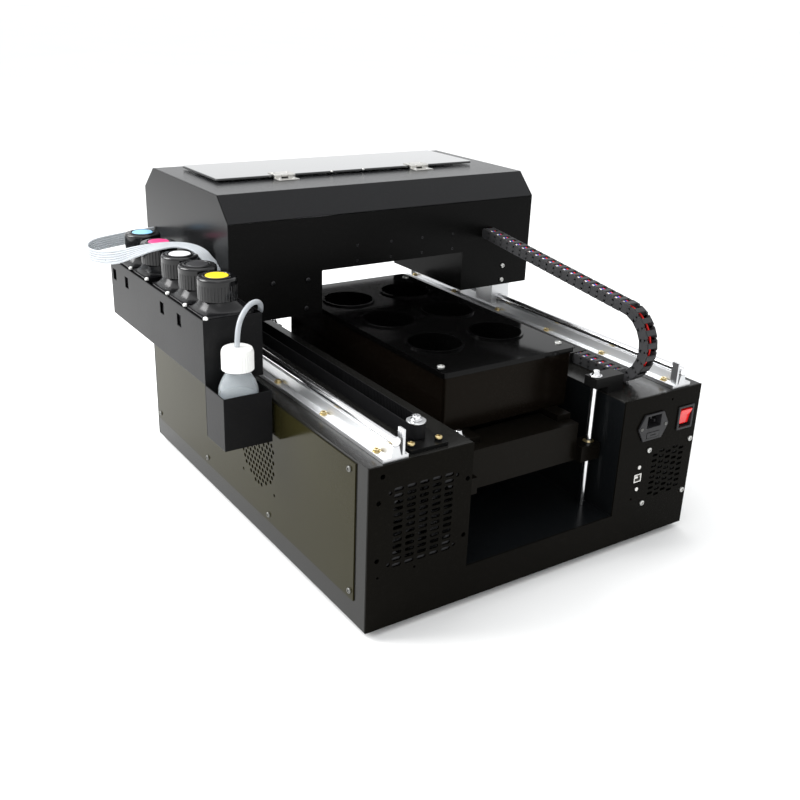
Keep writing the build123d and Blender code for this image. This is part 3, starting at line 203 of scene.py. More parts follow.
def milky_tube(blank):
    cloud = blank.noise(60, detail=4)
    film = blank.noise(420, detail=2)
    return {
        "Base Color": cloud.tint((0.50, 0.53, 0.56), (0.66, 0.69, 0.72)),
        "Roughness": 0.22 + cloud * 0.2,
        "Normal": film.bump(0.15, 0.0004),
        "Transmission Weight": 0.4,
        "Subsurface Weight": 0.15,
        "Subsurface Radius": (0.004, 0.004, 0.004),
        "IOR": 1.41,
    }


tube_finish = finish("milky_silicone", milky_tube)


def spline_curve(name, route):
    """A smooth curve led by the route's points, which are in the row frame."""
    curve = bpy.data.curves.new(name, "CURVE")
    curve.dimensions = "3D"
    curve.resolution_u = 10
    spline = curve.splines.new("NURBS")
    spline.points.add(len(route) - 1)
    for point, place in zip(spline.points, route):
        point.co = (*place, 1)
    spline.order_u = 3
    spline.use_endpoint_u = True
    return curve


def read_line(curve):
    """The points along a curve that has no bevel."""
    holder = bpy.data.objects.new("line_reader", curve)
    bpy.context.scene.collection.objects.link(holder)
    mesh = bpy.data.meshes.new_from_object(holder)
    points = [vertex.co.copy() for vertex in mesh.vertices]
    bpy.data.objects.remove(holder)
    bpy.data.meshes.remove(mesh)
    return points


def place_piece(name, mesh, finishes, body, stands_for=()):
    """Shows a mesh as a piece that rides on a body."""
    if isinstance(mesh, bmesh.types.BMesh):
        built = bpy.data.meshes.new(name)
        mesh.to_mesh(built)
        mesh.free()
        mesh = built
    piece = bpy.data.objects.new(name, mesh)
    bpy.context.scene.collection.objects.link(piece)
    for each in finishes if isinstance(finishes, (list, tuple)) else [finishes]:
        piece.data.materials.append(each)
    if body:
        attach(piece, body)
    if stands_for:
        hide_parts(*stands_for)
    return piece


def add_ring(mesh, middle, side, up, radius, sides):
    """A ring of vertices round a middle, in the plane of two directions."""
    return [
        mesh.verts.new(middle + radius * (
            side * math.cos(2 * math.pi * k / sides) + up * math.sin(2 * math.pi * k / sides)
        ))
        for k in range(sides)
    ]


def join_rings(mesh, rings, finish_index=0):
    """Closes rings into one smooth skin with flat ends; a ring of one vertex is a tip."""
    for low, high in zip(rings, rings[1:]):
        sides = max(len(low), len(high))
        for k in range(sides):
            after = (k + 1) % sides
            if len(low) == 1:
                corners = (low[0], high[after], high[k])
            elif len(high) == 1:
                corners = (low[k], low[after], high[0])
            else:
                corners = (low[k], low[after], high[after], high[k])
            face = mesh.faces.new(corners)
            face.smooth = True
            face.material_index = finish_index
    for ring in (rings[0][::-1], rings[-1]):
        if len(ring) > 1:
            mesh.faces.new(ring).material_index = finish_index


def add_tube(mesh, line, radius, sides=12, finish_index=0):
    """Sweeps a round tube along a line into a mesh, with closed ends."""
    rings = []
    side = None
    for i, point in enumerate(line):
        ahead = line[min(i + 1, len(line) - 1)] - line[max(i - 1, 0)]
        ahead.normalize()
        if side is None:
            side = ahead.orthogonal().normalized()
        side = (side - ahead * side.dot(ahead)).normalized()
        rings.append(add_ring(mesh, point, side, ahead.cross(side), radius, sides))
    join_rings(mesh, rings, finish_index)


ribbon_route = [from_corner(*point) for point in (
    (7, 352, 301), (-3, 364, 312), (-7, 386, 322.6), (-23, 407, 324.5), (-46, 421, 321),
    (-66, 440, 312), (-80, 466, 301), (-92, 502, 293), (-98, 538, 292), (-82, 566, 294),
    (-50, 574, 296), (-20, 573, 299), (7, 570, 302),
)]
ribbon_line = read_line(spline_curve("ribbon_line", ribbon_route))
ribbon_tube_r = 0.00145
ribbon_tube_pitch = 0.00292
ribbon_tubes = 6
# How far the ribbon stands on its edge, in degrees, at equal steps from its front end
# to its rear end.
ribbon_twist = (0, 0, 2, 6, 20, 46, 72, 86, 90, 90, 88, 86, 84)

ribbon = bmesh.new()
tube_lines = [[] for _ in range(ribbon_tubes)]
for i, point in enumerate(ribbon_line):
    along = i / (len(ribbon_line) - 1) * (len(ribbon_twist) - 1)
    step = min(int(along), len(ribbon_twist) - 2)
    edge_on = math.radians(
        ribbon_twist[step] + (ribbon_twist[step + 1] - ribbon_twist[step]) * (along - step)
    )
    ahead = ribbon_line[min(i + 1, len(ribbon_line) - 1)] - ribbon_line[max(i - 1, 0)]
    ahead.normalize()
    level = ahead.cross(Vector((0, 0, 1))).normalized()
    upright = level.cross(ahead)
    across = level * math.cos(edge_on) + upright * math.sin(edge_on)
    for k, tube_line in enumerate(tube_lines):
        tube_line.append(point + across * ribbon_tube_pitch * (k - (ribbon_tubes - 1) / 2))
for tube_line in tube_lines:
    add_tube(ribbon, tube_line, ribbon_tube_r)
ink_ribbon = place_piece(
    "ink_ribbon_tubes", ribbon, tube_finish, "gantry", ["ink_ribbon"]
)

# ------------------------ waste tube
# A single silicone tube from the waste bottle's cap to the front of the gantry's left leg.
# It is pushed over a barb in the cap and through a hole in the sheet.
waste_route = [from_corner(*point) for point in (
    (-35.2, 218.5, 253), (-34, 220, 268), (-27, 225, 284), (-12, 232, 296), (3, 240, 294),
    (11, 252, 281), (14, 268, 268), (15, 290, 261), (17, 310, 262), (18, 329, 264),
)]
waste_tube_r = 0.003
waste_curve = spline_curve("waste_tube_line", waste_route)
waste_curve.bevel_depth = waste_tube_r
waste_curve.bevel_resolution = 5
waste_curve.use_fill_caps = True
waste_tube = place_piece(
    "waste_tube_run", waste_curve, tube_finish, "gantry", ["waste_tube"]
)

# ------------------------ floor and studio light
# A plain pale floor that runs out of view, and three soft boxes: above, to the left
# and in front. None of it belongs to the machine.
floor_reach = 30
floor_drop = 0.0004
floor = bmesh.new()
bmesh.ops.create_grid(floor, x_segments=1, y_segments=1, size=floor_reach)
floor_mesh = bpy.data.meshes.new("studio_floor")
floor.to_mesh(floor_mesh)
floor.free()
studio_floor = bpy.data.objects.new("studio_floor", floor_mesh)
studio_floor.location = (0, 0, -floor_drop)
bpy.context.scene.collection.objects.link(studio_floor)


def pale_floor(blank):
    cloud = blank.noise(1.5)
    return {
        "Base Color": cloud.tint((0.86, 0.86, 0.855), (0.9, 0.9, 0.895)),
        "Roughness": 0.6 + cloud * 0.1,
        "Specular IOR Level": 0.2,
    }


floor_mesh.materials.append(finish("pale_floor", pale_floor))

machine_middle = (cad_low + cad_high) / 2


def soft_box(name, place, width, height, power):
    """A large area light that faces the middle of the machine."""
    data = bpy.data.lights.new(name, "AREA")
    data.shape = "RECTANGLE"
    data.size = width
    data.size_y = height
    data.energy = power
    light = bpy.data.objects.new(name, data)
    bpy.context.scene.collection.objects.link(light)
    light.location = place
    light.rotation_mode = "QUATERNION"
    light.rotation_quaternion = (Vector(place) - machine_middle).to_track_quat("Z", "Y")


soft_box("top_box", (-0.3, 0.3, 2.6), 2.4, 2.0, 22)
soft_box("left_box", (-1.7, 1.1, 1.7), 1.5, 1.5, 85)
soft_box("front_box", (-0.9, -2.4, 1.6), 1.0, 0.8, 4)

world = bpy.data.worlds.new("studio_air")
world.use_nodes = True
air = world.node_tree.nodes["Background"].inputs
air["Color"].default_value = (0.98, 0.99, 1.0, 1)
air["Strength"].default_value = 1.15
bpy.context.scene.world = world
bpy.context.scene.view_settings.view_transform = "Standard"


# ------------------------ base casing
# Bent and punched steel sheet, 1.5 to 2 mm thick, powder coated semi-gloss black. The plates
# are screwed to a folded chassis; each cut edge is broken, so it catches the light.
def black_paint(tone, roughness, peel, shine=0.07, tint=(1, 1, 1)):
    """Powder coat of a tone: peel is its orange peel's height, shine its gloss seen square on, tint
    the colour of its reflections, where a warm tint is a painted reflection of a warm floor.
    """
    def build(blank):
        cloud = blank.noise(9, detail=4)
        speck = blank.noise(260, detail=2)
        orange_peel = blank.noise(520, detail=2)
        dust = (blank.noise(1500, detail=1) > 0.735) * cloud
        dark = tuple(0.75 * channel for channel in tone)
        painted = (cloud * 0.7 + speck * 0.3).tint(dark, tuple(1.25 * channel for channel in tone))
        return {
            "Base Color": (dust * 0.28).mix(painted, (0.19, 0.18, 0.16, 1)),
            "Roughness": roughness * 0.8 + cloud * (0.3 * roughness) + dust * 0.2,
            "Normal": (orange_peel + speck * 0.4).bump(peel, 0.0006),
            "Specular IOR Level": shine,
            "Specular Tint": (*tint, 1),
        }
    return build


def softened(node, width, finishes, angle=32, segments=2):
    """Stands for a CAD node: the same solid with its sharp edges rounded by a small width."""
    body = frame["nodes"][node]["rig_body"]
    merge_reach = 0.00001
    flat_enough = math.radians(0.5)
    crease = math.radians(50)
    mesh = bmesh.new()
    mesh.from_mesh(frame["nodes"][node].data)
    bmesh.ops.remove_doubles(mesh, verts=mesh.verts, dist=merge_reach)
    bmesh.ops.dissolve_limit(
        mesh,
        angle_limit=flat_enough,
        use_dissolve_boundaries=False,
        verts=mesh.verts,
        edges=mesh.edges,
    )
    sharp = [
        edge for edge in mesh.edges
        if len(edge.link_faces) == 2 and edge.calc_face_angle(0) > math.radians(angle)
    ]
    bmesh.ops.bevel(
        mesh,
        geom=sharp,
        offset=width,
        offset_type="OFFSET",
        segments=segments,
        profile=0.5,
        clamp_overlap=True,
        affect="EDGES",
    )
    bmesh.ops.triangulate(mesh, faces=[face for face in mesh.faces if len(face.verts) > 4])
    for face in mesh.faces:
        face.smooth = True
    for edge in mesh.edges:
        edge.smooth = len(edge.link_faces) == 2 and edge.calc_face_angle(0) <= crease
    for layer in list(mesh.loops.layers.uv):
        mesh.loops.layers.uv.remove(layer)
    piece = place_piece(node + "_soft", mesh, finishes, body, [node])
    weighted = piece.modifiers.new("weighted_normals", "WEIGHTED_NORMAL")
    weighted.keep_sharp = True


def carry(node, coat):
    """Keeps a CAD node as it is and gives it a finish."""
    slots = frame["nodes"][node].data.materials
    slots.clear()
    slots.append(coat)


# The warm reflection tint of the casing paint is a painted reflection of a warm floor.
casing_paint = finish(
    "casing_paint", black_paint((0.0030, 0.0027, 0.0021), 0.26, 0.10, 0.022, (1, 0.93, 0.80))
)
# The side panels' olive tone and yellow reflection tint are a painted reflection of a warm brown
# floor, laid over their black powder coat.
panel_paint_and_reflection = finish(
    "panel_paint_and_reflection", black_paint((0.0165, 0.0148, 0.0050), 0.15, 0.05, 0.075, (1, 0.92, 0.60))
)
cover_paint = finish("cover_paint", black_paint((0.011, 0.0108, 0.0100), 0.24, 0.10, 0.14))
for node in ("front_plate", "rear_plate"):
    softened(node, 0.0003, casing_paint)
softened("tower_covers", 0.0005, cover_paint)
softened("side_panels", 0.0003, panel_paint_and_reflection)
channel_paint = finish("channel_paint", black_paint((0.0042, 0.0048, 0.0054), 0.24, 0.08, 0.05))
softened("base_chassis", 0.0006, channel_paint)


# ------------------------ feet
# Four black rubber feet, moulded with a slight draft and screwed under the pan. The belt
# uses the same kind of rubber, in a darker tone.
def rubber(tone):
    def build(blank):
        cloud = blank.noise(45)
        grain = blank.noise(1400, detail=2)
        return {
            "Base Color": cloud.tint(tone, tuple(1.8 * channel for channel in tone)),
            "Roughness": 0.45 + cloud * 0.2,
            "Normal": grain.bump(0.2, 0.0003),
            "Specular IOR Level": 0.12,
        }
    return build


foot_rubber = finish("foot_rubber", rubber((0.012, 0.012, 0.012)))
softened("rubber_feet", 0.0008, foot_rubber)


# ------------------------ casing and gantry screws
# Plated pan heads with a cross recess, bright, dark or black, hold the casing, the gantry and
# the platen. Brass socket heads with washers hold the rails, small black ones the cross rail.
def plated(colour, roughness, grain=800):
    """Plated or turned metal, a little uneven."""
    def build(blank):
        cloud = blank.noise(70, detail=4)
        fine = blank.noise(grain, detail=2)
        return {
            "Base Color": cloud.tint(tuple(0.8 * channel for channel in colour), colour),
            "Metallic": 1.0,
            "Roughness": roughness + fine * 0.12 + cloud * 0.06,
            "Normal": fine.bump(0.06, 0.0002),
        }
    return build


def turned(mesh, profile, place, axis=(0, 0, 1), sides=24, finish_index=0):
    """Adds a solid turned about an axis: profile is (radius, height) from axis and foot."""
    axis = Vector(axis).normalized()
    side = axis.orthogonal().normalized()
    up = axis.cross(side)
    rings = []
    for radius, height in profile:
        middle = place + axis * height
        if radius == 0:
            rings.append([mesh.verts.new(middle)])
        else:
            rings.append(add_ring(mesh, middle, side, up, radius, sides))
    join_rings(mesh, rings, finish_index)


def place_built(name, mesh, finishes, body, stands_for=(), crease=35):
    """Shows a mesh built face by face: turned outward, and sharp where it bends past crease."""
    bmesh.ops.recalc_face_normals(mesh, faces=mesh.faces)
    mesh.normal_update()
    for edge in mesh.edges:
        if len(edge.link_faces) == 2 and edge.calc_face_angle(0) > math.radians(crease):
            edge.smooth = False
    return place_piece(name, mesh, finishes, body, stands_for)


no_crease = 180


def pan_head(mesh, place, axis, radius, height, turn=None):
    """A domed screw head with a cross recess on a face, turned at random unless told."""
    if turn is None:
        turn = random.uniform(0, 1.5)
    axis = Vector(axis).normalized()
    side = Quaternion(axis, turn) @ axis.orthogonal().normalized()
    up = axis.cross(side)
    slot = 0.16 * radius
    reach = 0.62 * radius
    deep = 0.45 * height
    cross = []
    for k in range(4):
        along = (side, up, -side, -up)[k]
        off = (up, -side, -up, side)[k]
        cross += [along * reach - off * slot, along * reach + off * slot, along * slot + off * slot]
    steps = len(cross)
    top = place + axis * height
    recess_taper = 0.85
    rim = [mesh.verts.new(top + point) for point in cross]
    sunk = [mesh.verts.new(top - axis * deep + point * recess_taper) for point in cross]
    # The dome, as shares of the head's radius and height.
    dome = [
        [
            mesh.verts.new(place + point.normalized() * radius * share + axis * height * level)
            for point in cross
        ]
        for share, level in ((0.78, 0.97), (0.93, 0.78), (1.0, 0.4), (1.0, 0.0))
    ]
    rings = [sunk, rim, *dome]
    for low, high in zip(rings, rings[1:]):
        for k in range(steps):
            after = (k + 1) % steps
            mesh.faces.new((low[k], high[k], high[after], low[after])).smooth = True
    mesh.faces.new(sunk[::-1])
    mesh.faces.new(dome[-1])


zinc = finish("zinc_screws", plated((0.62, 0.62, 0.60), 0.24))
dark_zinc = finish("dark_screws", plated((0.20, 0.20, 0.19), 0.30))
panel_screws = (
    (34, 177), (30, 37), (217, 37), (396, 37), (566, 37), (217, 177), (396, 177), (566, 177),
)
base_width = (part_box("front_plate")[1] - corner).x * 1000
panel_stand = 1.5
random.seed(4)

side_screws = bmesh.new()
for x, way in ((-panel_stand, -1), (base_width + panel_stand, 1)):
    for y, z in panel_screws:
        pan_head(side_screws, from_corner(x, y, z), (way, 0, 0), 0.0034, 0.0021)
place_built(
    "side_panel_screws", side_screws, dark_zinc, "base", ["casing_screws"]
)

fan_screw_reach = 71.5 / 2
fan_x = 433
fan_z = 83.3
fan_screws = bmesh.new()
for a in (-1, 1):
    for b in (-1, 1):
        place = from_corner(fan_x + a * fan_screw_reach, 0, fan_z + b * fan_screw_reach)
        pan_head(fan_screws, place, (0, -1, 0), 0.0036, 0.0022)
place_built("fan_screws", fan_screws, zinc, "base")

deck_up = 190
rail_inset = 33
rail_foot = 5
rail_start = 3
rail_length = 572
rail_screw_side = 10.5
rail_screw_span = 532
rail_screw_count = 6
washer = ((0.0044, 0), (0.0044, 0.0005), (0.0043, 0.0007))
socket_head = (
    (0.0033, 0.0006), (0.0033, 0.0028), (0.0030, 0.0032), (0.0017, 0.0032), (0.0016, 0.0014),
    (0, 0.0013),
)
rail_screws = bmesh.new()
for x in (rail_inset, base_width - rail_inset):
    for side in (-rail_screw_side, rail_screw_side):
        for k in range(rail_screw_count):
            along = k * rail_screw_span / (rail_screw_count - 1)
            y = rail_start + rail_length / 2 - rail_screw_span / 2 + along
            place = from_corner(x + side, y, deck_up + rail_foot)
            turned(rail_screws, washer, place)
            turned(rail_screws, socket_head, place)
brass = finish("brass_parts", plated((0.62, 0.50, 0.26), 0.26))
place_built("rail_screws", rail_screws, brass, "base")

gantry_front_y = (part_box("gantry_front")[0] - corner).y * 1000
gantry_screws = bmesh.new()
for x, z in ((112.3, 282.9), (110, 246.4), (64.3, 284.1)):
    pan_head(gantry_screws, from_corner(x, gantry_front_y, z), (0, -1, 0), 0.0030, 0.0018)
black_steel = finish("black_steel", plated((0.045, 0.045, 0.047), 0.20))
place_built(
    "gantry_front_screws", gantry_screws, black_steel, "gantry", ["gantry_screws"]
)

leg_screw_inset = 52.4
leg_screws = bmesh.new()
for z in (265.3, 245):
    place = from_corner(base_width - leg_screw_inset, gantry_front_y, z)
    pan_head(leg_screws, place, (0, -1, 0), 0.0034, 0.0022)
place_built("gantry_leg_screws", leg_screws, zinc, "gantry")

bolt_sink = 2.6
bolt_head = (
    (0.0019, 0), (0.0019, 0.0024), (0.0017, 0.0027), (0.0011, 0.0027), (0.0010, 0.0012),
    (0, 0.0011),
)
rail_bolts = bmesh.new()
for x in (184, 235, 284, 334):
    for z in (299, 319):
        place = from_corner(x, gantry_front_y + bolt_sink, z)
        turned(rail_bolts, bolt_head, place, (0, -1, 0), 18)
place_built("cross_rail_bolts", rail_bolts, black_steel, "gantry")

platen_low, platen_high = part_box("jig_plate")
platen_middle = (platen_low + platen_high) / 2
platen_head_r = 0.0045
platen_head_h = 0.0018
platen_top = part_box("platen_screws")[1].z - platen_head_h
platen_screw_x = 0.086
platen_screw_y = 0.163
platen_screws = bmesh.new()
for a in (-platen_screw_x, platen_screw_x):
    for b in (-platen_screw_y, platen_screw_y):
        place = Vector((platen_middle.x + a, platen_middle.y + b, platen_top))
        pan_head(platen_screws, place, (0, 0, 1), platen_head_r, platen_head_h)
place_built(
    "platen_corner_screws", platen_screws, zinc, "lift", ["platen_screws"]
)


# ------------------------ rails and shafts
# Extruded aluminium supports with wide flanks, screwed to the towers' decks. They carry ground
# steel shafts; end stops keep the bearing blocks on them.
def brushed(colour, roughness, stretch):
    """Drawn or brushed metal: stretch is small along the lines of the grain."""
    def build(blank):
        lines = blank.noise(2600, stretch, 2)
        broad = blank.noise(500, stretch, 3)
        cloud = blank.noise(14, detail=4)
        dark = tuple(0.72 * channel for channel in colour)
        return {
            "Base Color": (lines * 0.4 + cloud * 0.6).tint(dark, colour),
            "Metallic": 1.0,
            "Roughness": roughness + lines * 0.12 + cloud * 0.08,
            "Normal": (lines * 0.6 + broad).bump(0.10, 0.0003),
        }
    return build


rail_aluminium = finish("rail_aluminium", brushed((0.74, 0.75, 0.76), 0.30, (1, 0.012, 1)))
block_aluminium = finish("block_aluminium", brushed((0.74, 0.75, 0.76), 0.30, (0.03, 1, 1)))
ground_steel = finish("ground_steel", plated((0.80, 0.80, 0.81), 0.08, 2200))
softened("rail_supports", 0.0004, rail_aluminium)
softened("linear_shafts", 0.0005, ground_steel)

# ------------------------ deck brackets, belt and pulleys
# A folded black plate holds the idler's post, black blocks hold the guide rods and the chain.
# The belt is black rubber with teeth on the inside, and runs over two aluminium pulleys.
bracket_paint = finish("bracket_paint", black_paint((0.0045, 0.0045, 0.0045), 0.30, 0.15, 0.08))
softened("deck_brackets", 0.0006, bracket_paint)

belt_low, belt_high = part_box("timing_belt")
belt_x = (belt_low.x + belt_high.x) / 2
belt_skin = 0.0016
belt_r = (belt_high.x - belt_low.x) / 2 - belt_skin
belt_start = belt_low.y + belt_r + belt_skin
belt_end = belt_high.y - belt_r - belt_skin
belt_straight = belt_end - belt_start
belt_round = math.pi * belt_r
belt_length = 2 * (belt_straight + belt_round)


def belt_point(along, out):
    """A point beside the belt's inner face: along its loop, and out from it."""
    reach = belt_r + out
    if along < belt_straight:
        return Vector((belt_x + belt_r + out, belt_start + along, 0))
    along -= belt_straight
    if along < belt_round:
        turn = along / belt_r
        return Vector((belt_x + reach * math.cos(turn), belt_end + reach * math.sin(turn), 0))
    along -= belt_round
    if along < belt_straight:
        return Vector((belt_x - belt_r - out, belt_end - along, 0))
    turn = math.pi + (along - belt_straight) / belt_r
    return Vector((belt_x + reach * math.cos(turn), belt_start + reach * math.sin(turn), 0))


belt_pitch = 0.003
belt_teeth = round(belt_length / belt_pitch)
belt_back = 0.0015
belt_lift = 0.0001
tooth_depth = 0.0007
tooth_steps = 4
belt = bmesh.new()
belt_rows = []
for k in range(belt_teeth * tooth_steps):
    along = belt_length * k / (belt_teeth * tooth_steps)
    inner = belt_lift + (tooth_depth if k % tooth_steps < tooth_steps / 2 else 0.0)
    belt_rows.append([
        belt.verts.new(belt_point(along, out) + Vector((0, 0, z)))
        for out, z in (
            (inner, belt_low.z), (inner, belt_high.z), (belt_back, belt_high.z),
            (belt_back, belt_low.z),
        )
    ])
for k, row in enumerate(belt_rows):
    after = belt_rows[(k + 1) % len(belt_rows)]
    for a in range(4):
        b = (a + 1) % 4
        belt.faces.new((row[a], row[b], after[b], after[a])).smooth = a == 2
belt_rubber = finish("belt_rubber", rubber((0.0028, 0.0028, 0.0032)))
place_built("toothed_belt", belt, belt_rubber, "base", ["timing_belt"])

pulley_metal = finish("pulley_metal", plated((0.72, 0.73, 0.74), 0.20, 1500))
for node in ("idler_pulley", "drive_pulley"):
    softened(node, 0.0003, pulley_metal)
idler_low, idler_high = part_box("idler_pulley")
idler_middle = (idler_low + idler_high) / 2
idler_gap = 0.0003
idler_bolt = (
    (0.0062, 0), (0.0062, 0.0008), (0.0052, 0.0012), (0.0048, 0.0012), (0.0048, 0.0042),
    (0.0040, 0.0048), (0.0022, 0.0048), (0.0021, 0.0024), (0, 0.0023),
)
idler_top = bmesh.new()
place = Vector((idler_middle.x, idler_middle.y, idler_high.z + idler_gap))
turned(idler_top, idler_bolt, place, sides=28)
place_built("idler_bolt", idler_top, ground_steel, "base")

bracket_up = 6.5
bracket_screw_y = 17
bracket_screws = bmesh.new()
for x in (60, 94):
    place = from_corner(x, bracket_screw_y, deck_up + bracket_up)
    pan_head(bracket_screws, place, (0, 0, 1), 0.0042, 0.0022)
place_built("bracket_screws", bracket_screws, brass, "base")


# ------------------------ fans, motors, board and supply
# Moulded black fans behind the vents, laminated steel motors, a green board and a perforated
# aluminium supply. They sit inside the towers and show only through the slots.
def moulded(tone, roughness, grain=0.2, light=1.5, shine=0.2):
    """Moulded plastic with a fine spark-eroded grain."""
    def build(blank):
        cloud = blank.noise(30)
        fine = blank.noise(1900, detail=2)
        return {
            "Base Color": cloud.tint(tone, tuple(min(1.0, light * channel) for channel in tone)),
            "Roughness": roughness + cloud * 0.1,
            "Normal": fine.bump(grain, 0.00025),
            "Specular IOR Level": shine,
        }
    return build


fan_plastic = finish("fan_plastic", moulded((0.013, 0.013, 0.014), 0.42))
for node in ("fan_frames", "left_fan_rotor", "right_fan_rotor", "side_fan_rotor"):
    carry(node, fan_plastic)
carry("power_supply", block_aluminium)


def circuit_board(blank):
    tracks = blank.noise(420, (1, 0.2, 1), 1)
    return {
        "Base Color": (tracks > 0.52).tint((0.01, 0.09, 0.035), (0.02, 0.17, 0.06)),
        "Roughness": 0.3 + tracks * 0.15,
        "Normal": tracks.bump(0.1, 0.0002),
    }


carry("control_board", finish("circuit_board", circuit_board))
motor_steel = finish("motor_steel", brushed((0.22, 0.22, 0.23), 0.35, (1, 1, 0.02)))
for node in ("stepper_motors", "cross_motor"):
    carry(node, motor_steel)

# ------------------------ mains inlet, switch and port
# A moulded inlet with a fuse drawer, a rocker switch in a snap-in bezel, and a nickel plated
# data port between two screws, all set in the right tower's front plate.
inlet_plastic = finish("inlet_plastic", moulded((0.014, 0.014, 0.015), 0.22, 0.08))
bezel_plastic = finish("bezel_plastic", moulded((0.016, 0.016, 0.017), 0.16, 0.05))
drawer_plastic = finish("drawer_plastic", moulded((0.018, 0.018, 0.019), 0.30, 0.1))
softened("power_inlet", 0.0007, inlet_plastic)
softened("fuse_drawer", 0.0004, drawer_plastic)
softened("switch_bezel", 0.0006, bezel_plastic)


def red_plastic(blank):
    cloud = blank.noise(90)
    return {
        "Base Color": cloud.tint((0.62, 0.006, 0.008), (0.82, 0.016, 0.014)),
        "Roughness": 0.12 + cloud * 0.1,
        "Normal": cloud.bump(0.05, 0.0003),
        "Coat Weight": 0.3,
        "Coat Roughness": 0.05,
        # The faint red emission is a painted glow, not a lamp.
        "Emission Color": (0.6, 0.01, 0.01, 1),
        "Emission Strength": 0.06,
    }


rocker_plastic = finish("rocker_plastic", red_plastic)
softened("switch_rocker", 0.0009, rocker_plastic, angle=8, segments=3)
nickel = finish("nickel_plate", plated((0.72, 0.71, 0.68), 0.16))
softened("usb_port", 0.0003, nickel)

port_x = 384
port_z = 84.5
tongue_sink = 0.0045
tongue_place = from_corner(port_x, 0, port_z) + Vector((0, tongue_sink, 0))
tongue_size = Matrix.Diagonal((0.0055, 0.0065, 0.0032, 1))
tongue_edge = 0.0006
tongue = bmesh.new()
bmesh.ops.create_cube(tongue, size=1, matrix=Matrix.Translation(tongue_place) @ tongue_size)
bmesh.ops.bevel(tongue, geom=tongue.edges[:], offset=tongue_edge, segments=2, affect="EDGES")
bone_plastic = finish("bone_plastic", moulded((0.72, 0.71, 0.68), 0.35, 0.1, 1.15))
place_piece("port_tongue", tongue, bone_plastic, "base")

inlet_x = 397.5
inlet_z = 150.5
inlet_stand = 2.5
inlet_screw_side = 20
inlet_screws = bmesh.new()
for side in (-1, 1):
    place = from_corner(inlet_x + side * inlet_screw_side, -inlet_stand, inlet_z)
    pan_head(inlet_screws, place, (0, -1, 0), 0.0021, 0.0010, turn=0.5)
place_built("inlet_screws", inlet_screws, dark_zinc, "base")

# ------------------------ lift
# Two black box beams joined by side bars ride on guide rods in brass bushings, and a screw
# in the middle raises them.
# The warm reflection tint of the lift paint is a painted reflection of a warm floor.
lift_paint = finish(
    "lift_paint", black_paint((0.0030, 0.0025, 0.0019), 0.30, 0.12, 0.05, (1, 0.92, 0.78))
)
softened("lift_frame", 0.0008, lift_paint)
carry("lift_bushings", brass)


def threaded(blank):
    place = blank.node("TexCoord", output=3)
    turns = blank.node(
        "TexWave",
        {"wave_type": "BANDS", "bands_direction": "Z"},
        {"Vector": place, "Scale": 160.0, "Distortion": 0.0},
        output=1,
    )
    return {
        # The grooves between the turns are given a darker colour: painted shade.
        "Base Color": turns.tint((0.28, 0.28, 0.28), (0.62, 0.62, 0.63)),
        "Metallic": 1.0,
        "Roughness": 0.22 + turns * 0.12,
        "Normal": turns.bump(0.7, 0.001),
    }


carry("lead_screw", finish("screw_thread", threaded))


# ------------------------ platen
# A shallow box of black sheet carries a polished black plate with six round nests,
# each with a raised rim and a sleeve below it.
def polished_black(blank):
    cloud = blank.noise(7, detail=5)
    hair = (blank.noise(240, (1, 0.02, 1), 2) > 0.70) * 0.4
    dust = (blank.noise(1300, detail=1) > 0.74) * cloud
    return {
        "Base Color": (dust * 0.5).tint((0.0012, 0.0012, 0.0012), (0.06, 0.06, 0.06)),
        "Roughness": 0.055 + cloud * 0.05 + hair * 0.08 + dust * 0.25,
        "Normal": cloud.bump(0.02, 0.002),
        "Specular IOR Level": 0.09,
    }


platen_gloss = finish("platen_gloss", polished_black)
# The warm reflection tint of the box paint is a painted reflection of a warm floor.
box_paint = finish(
    "box_paint", black_paint((0.0030, 0.0021, 0.0014), 0.22, 0.08, 0.05, (1, 0.86, 0.68))
)
softened("platen_box", 0.0006, box_paint)
softened("jig_plate", 0.0010, platen_gloss, segments=3)

# ------------------------ gantry casing
# Folded black sheet: a front plate with the window, a hood with two sloping folds,
# flat ends, and a chassis inside that carries the bearing blocks.
gantry_paint = finish("gantry_paint", black_paint((0.0036, 0.0036, 0.0035), 0.26, 0.10, 0.05))
hood_paint = finish("hood_paint", black_paint((0.0085, 0.0087, 0.0095), 0.24, 0.10, 0.16))
end_paint = finish("end_paint", black_paint((0.0065, 0.0066, 0.0070), 0.22, 0.10, 0.09))
softened("gantry_front", 0.0004, gantry_paint)
softened("gantry_cover", 0.0012, hood_paint, angle=20, segments=4)
softened("gantry_ends", 0.0005, end_paint)
softened("gantry_chassis", 0.0004, gantry_paint)
softened("bearing_blocks", 0.0008, block_aluminium)
softened("belt_clamp", 0.0004, block_aluminium)

# ------------------------ cross rail, carriage and head
# Two ground rods and a strip carry the print carriage across the gantry. It parks on the right,
# over the capping station.
softened("cross_rail", 0.0003, ground_steel)
carriage_plastic = finish("carriage_plastic", moulded((0.02, 0.02, 0.022), 0.35))
softened("print_carriage", 0.0010, carriage_plastic)
softened("capping_station", 0.0008, carriage_plastic)
softened("print_head", 0.0006, motor_steel)


# ------------------------ lid and hinges
# A thin polished panel closes the hatch in the hood. It turns on two small nickel butt hinges
# along its front edge.
def lid_black(blank):
    cloud = blank.noise(6, detail=4)
    smear = blank.noise(22, (0.25, 1, 1), 4)
    dust = (blank.noise(1400, detail=1) > 0.735) * cloud
    return {
        "Base Color": (dust * 0.5 + smear * 0.02).tint((0.010, 0.011, 0.0115), (0.2, 0.2, 0.2)),
        "Roughness": 0.06 + smear * 0.10 + dust * 0.2,
        "Normal": cloud.bump(0.02, 0.002),
        "Specular IOR Level": 0.9,
        "Coat Weight": 1.0,
        "Coat Roughness": 0.04,
        "Coat IOR": 1.9,
    }


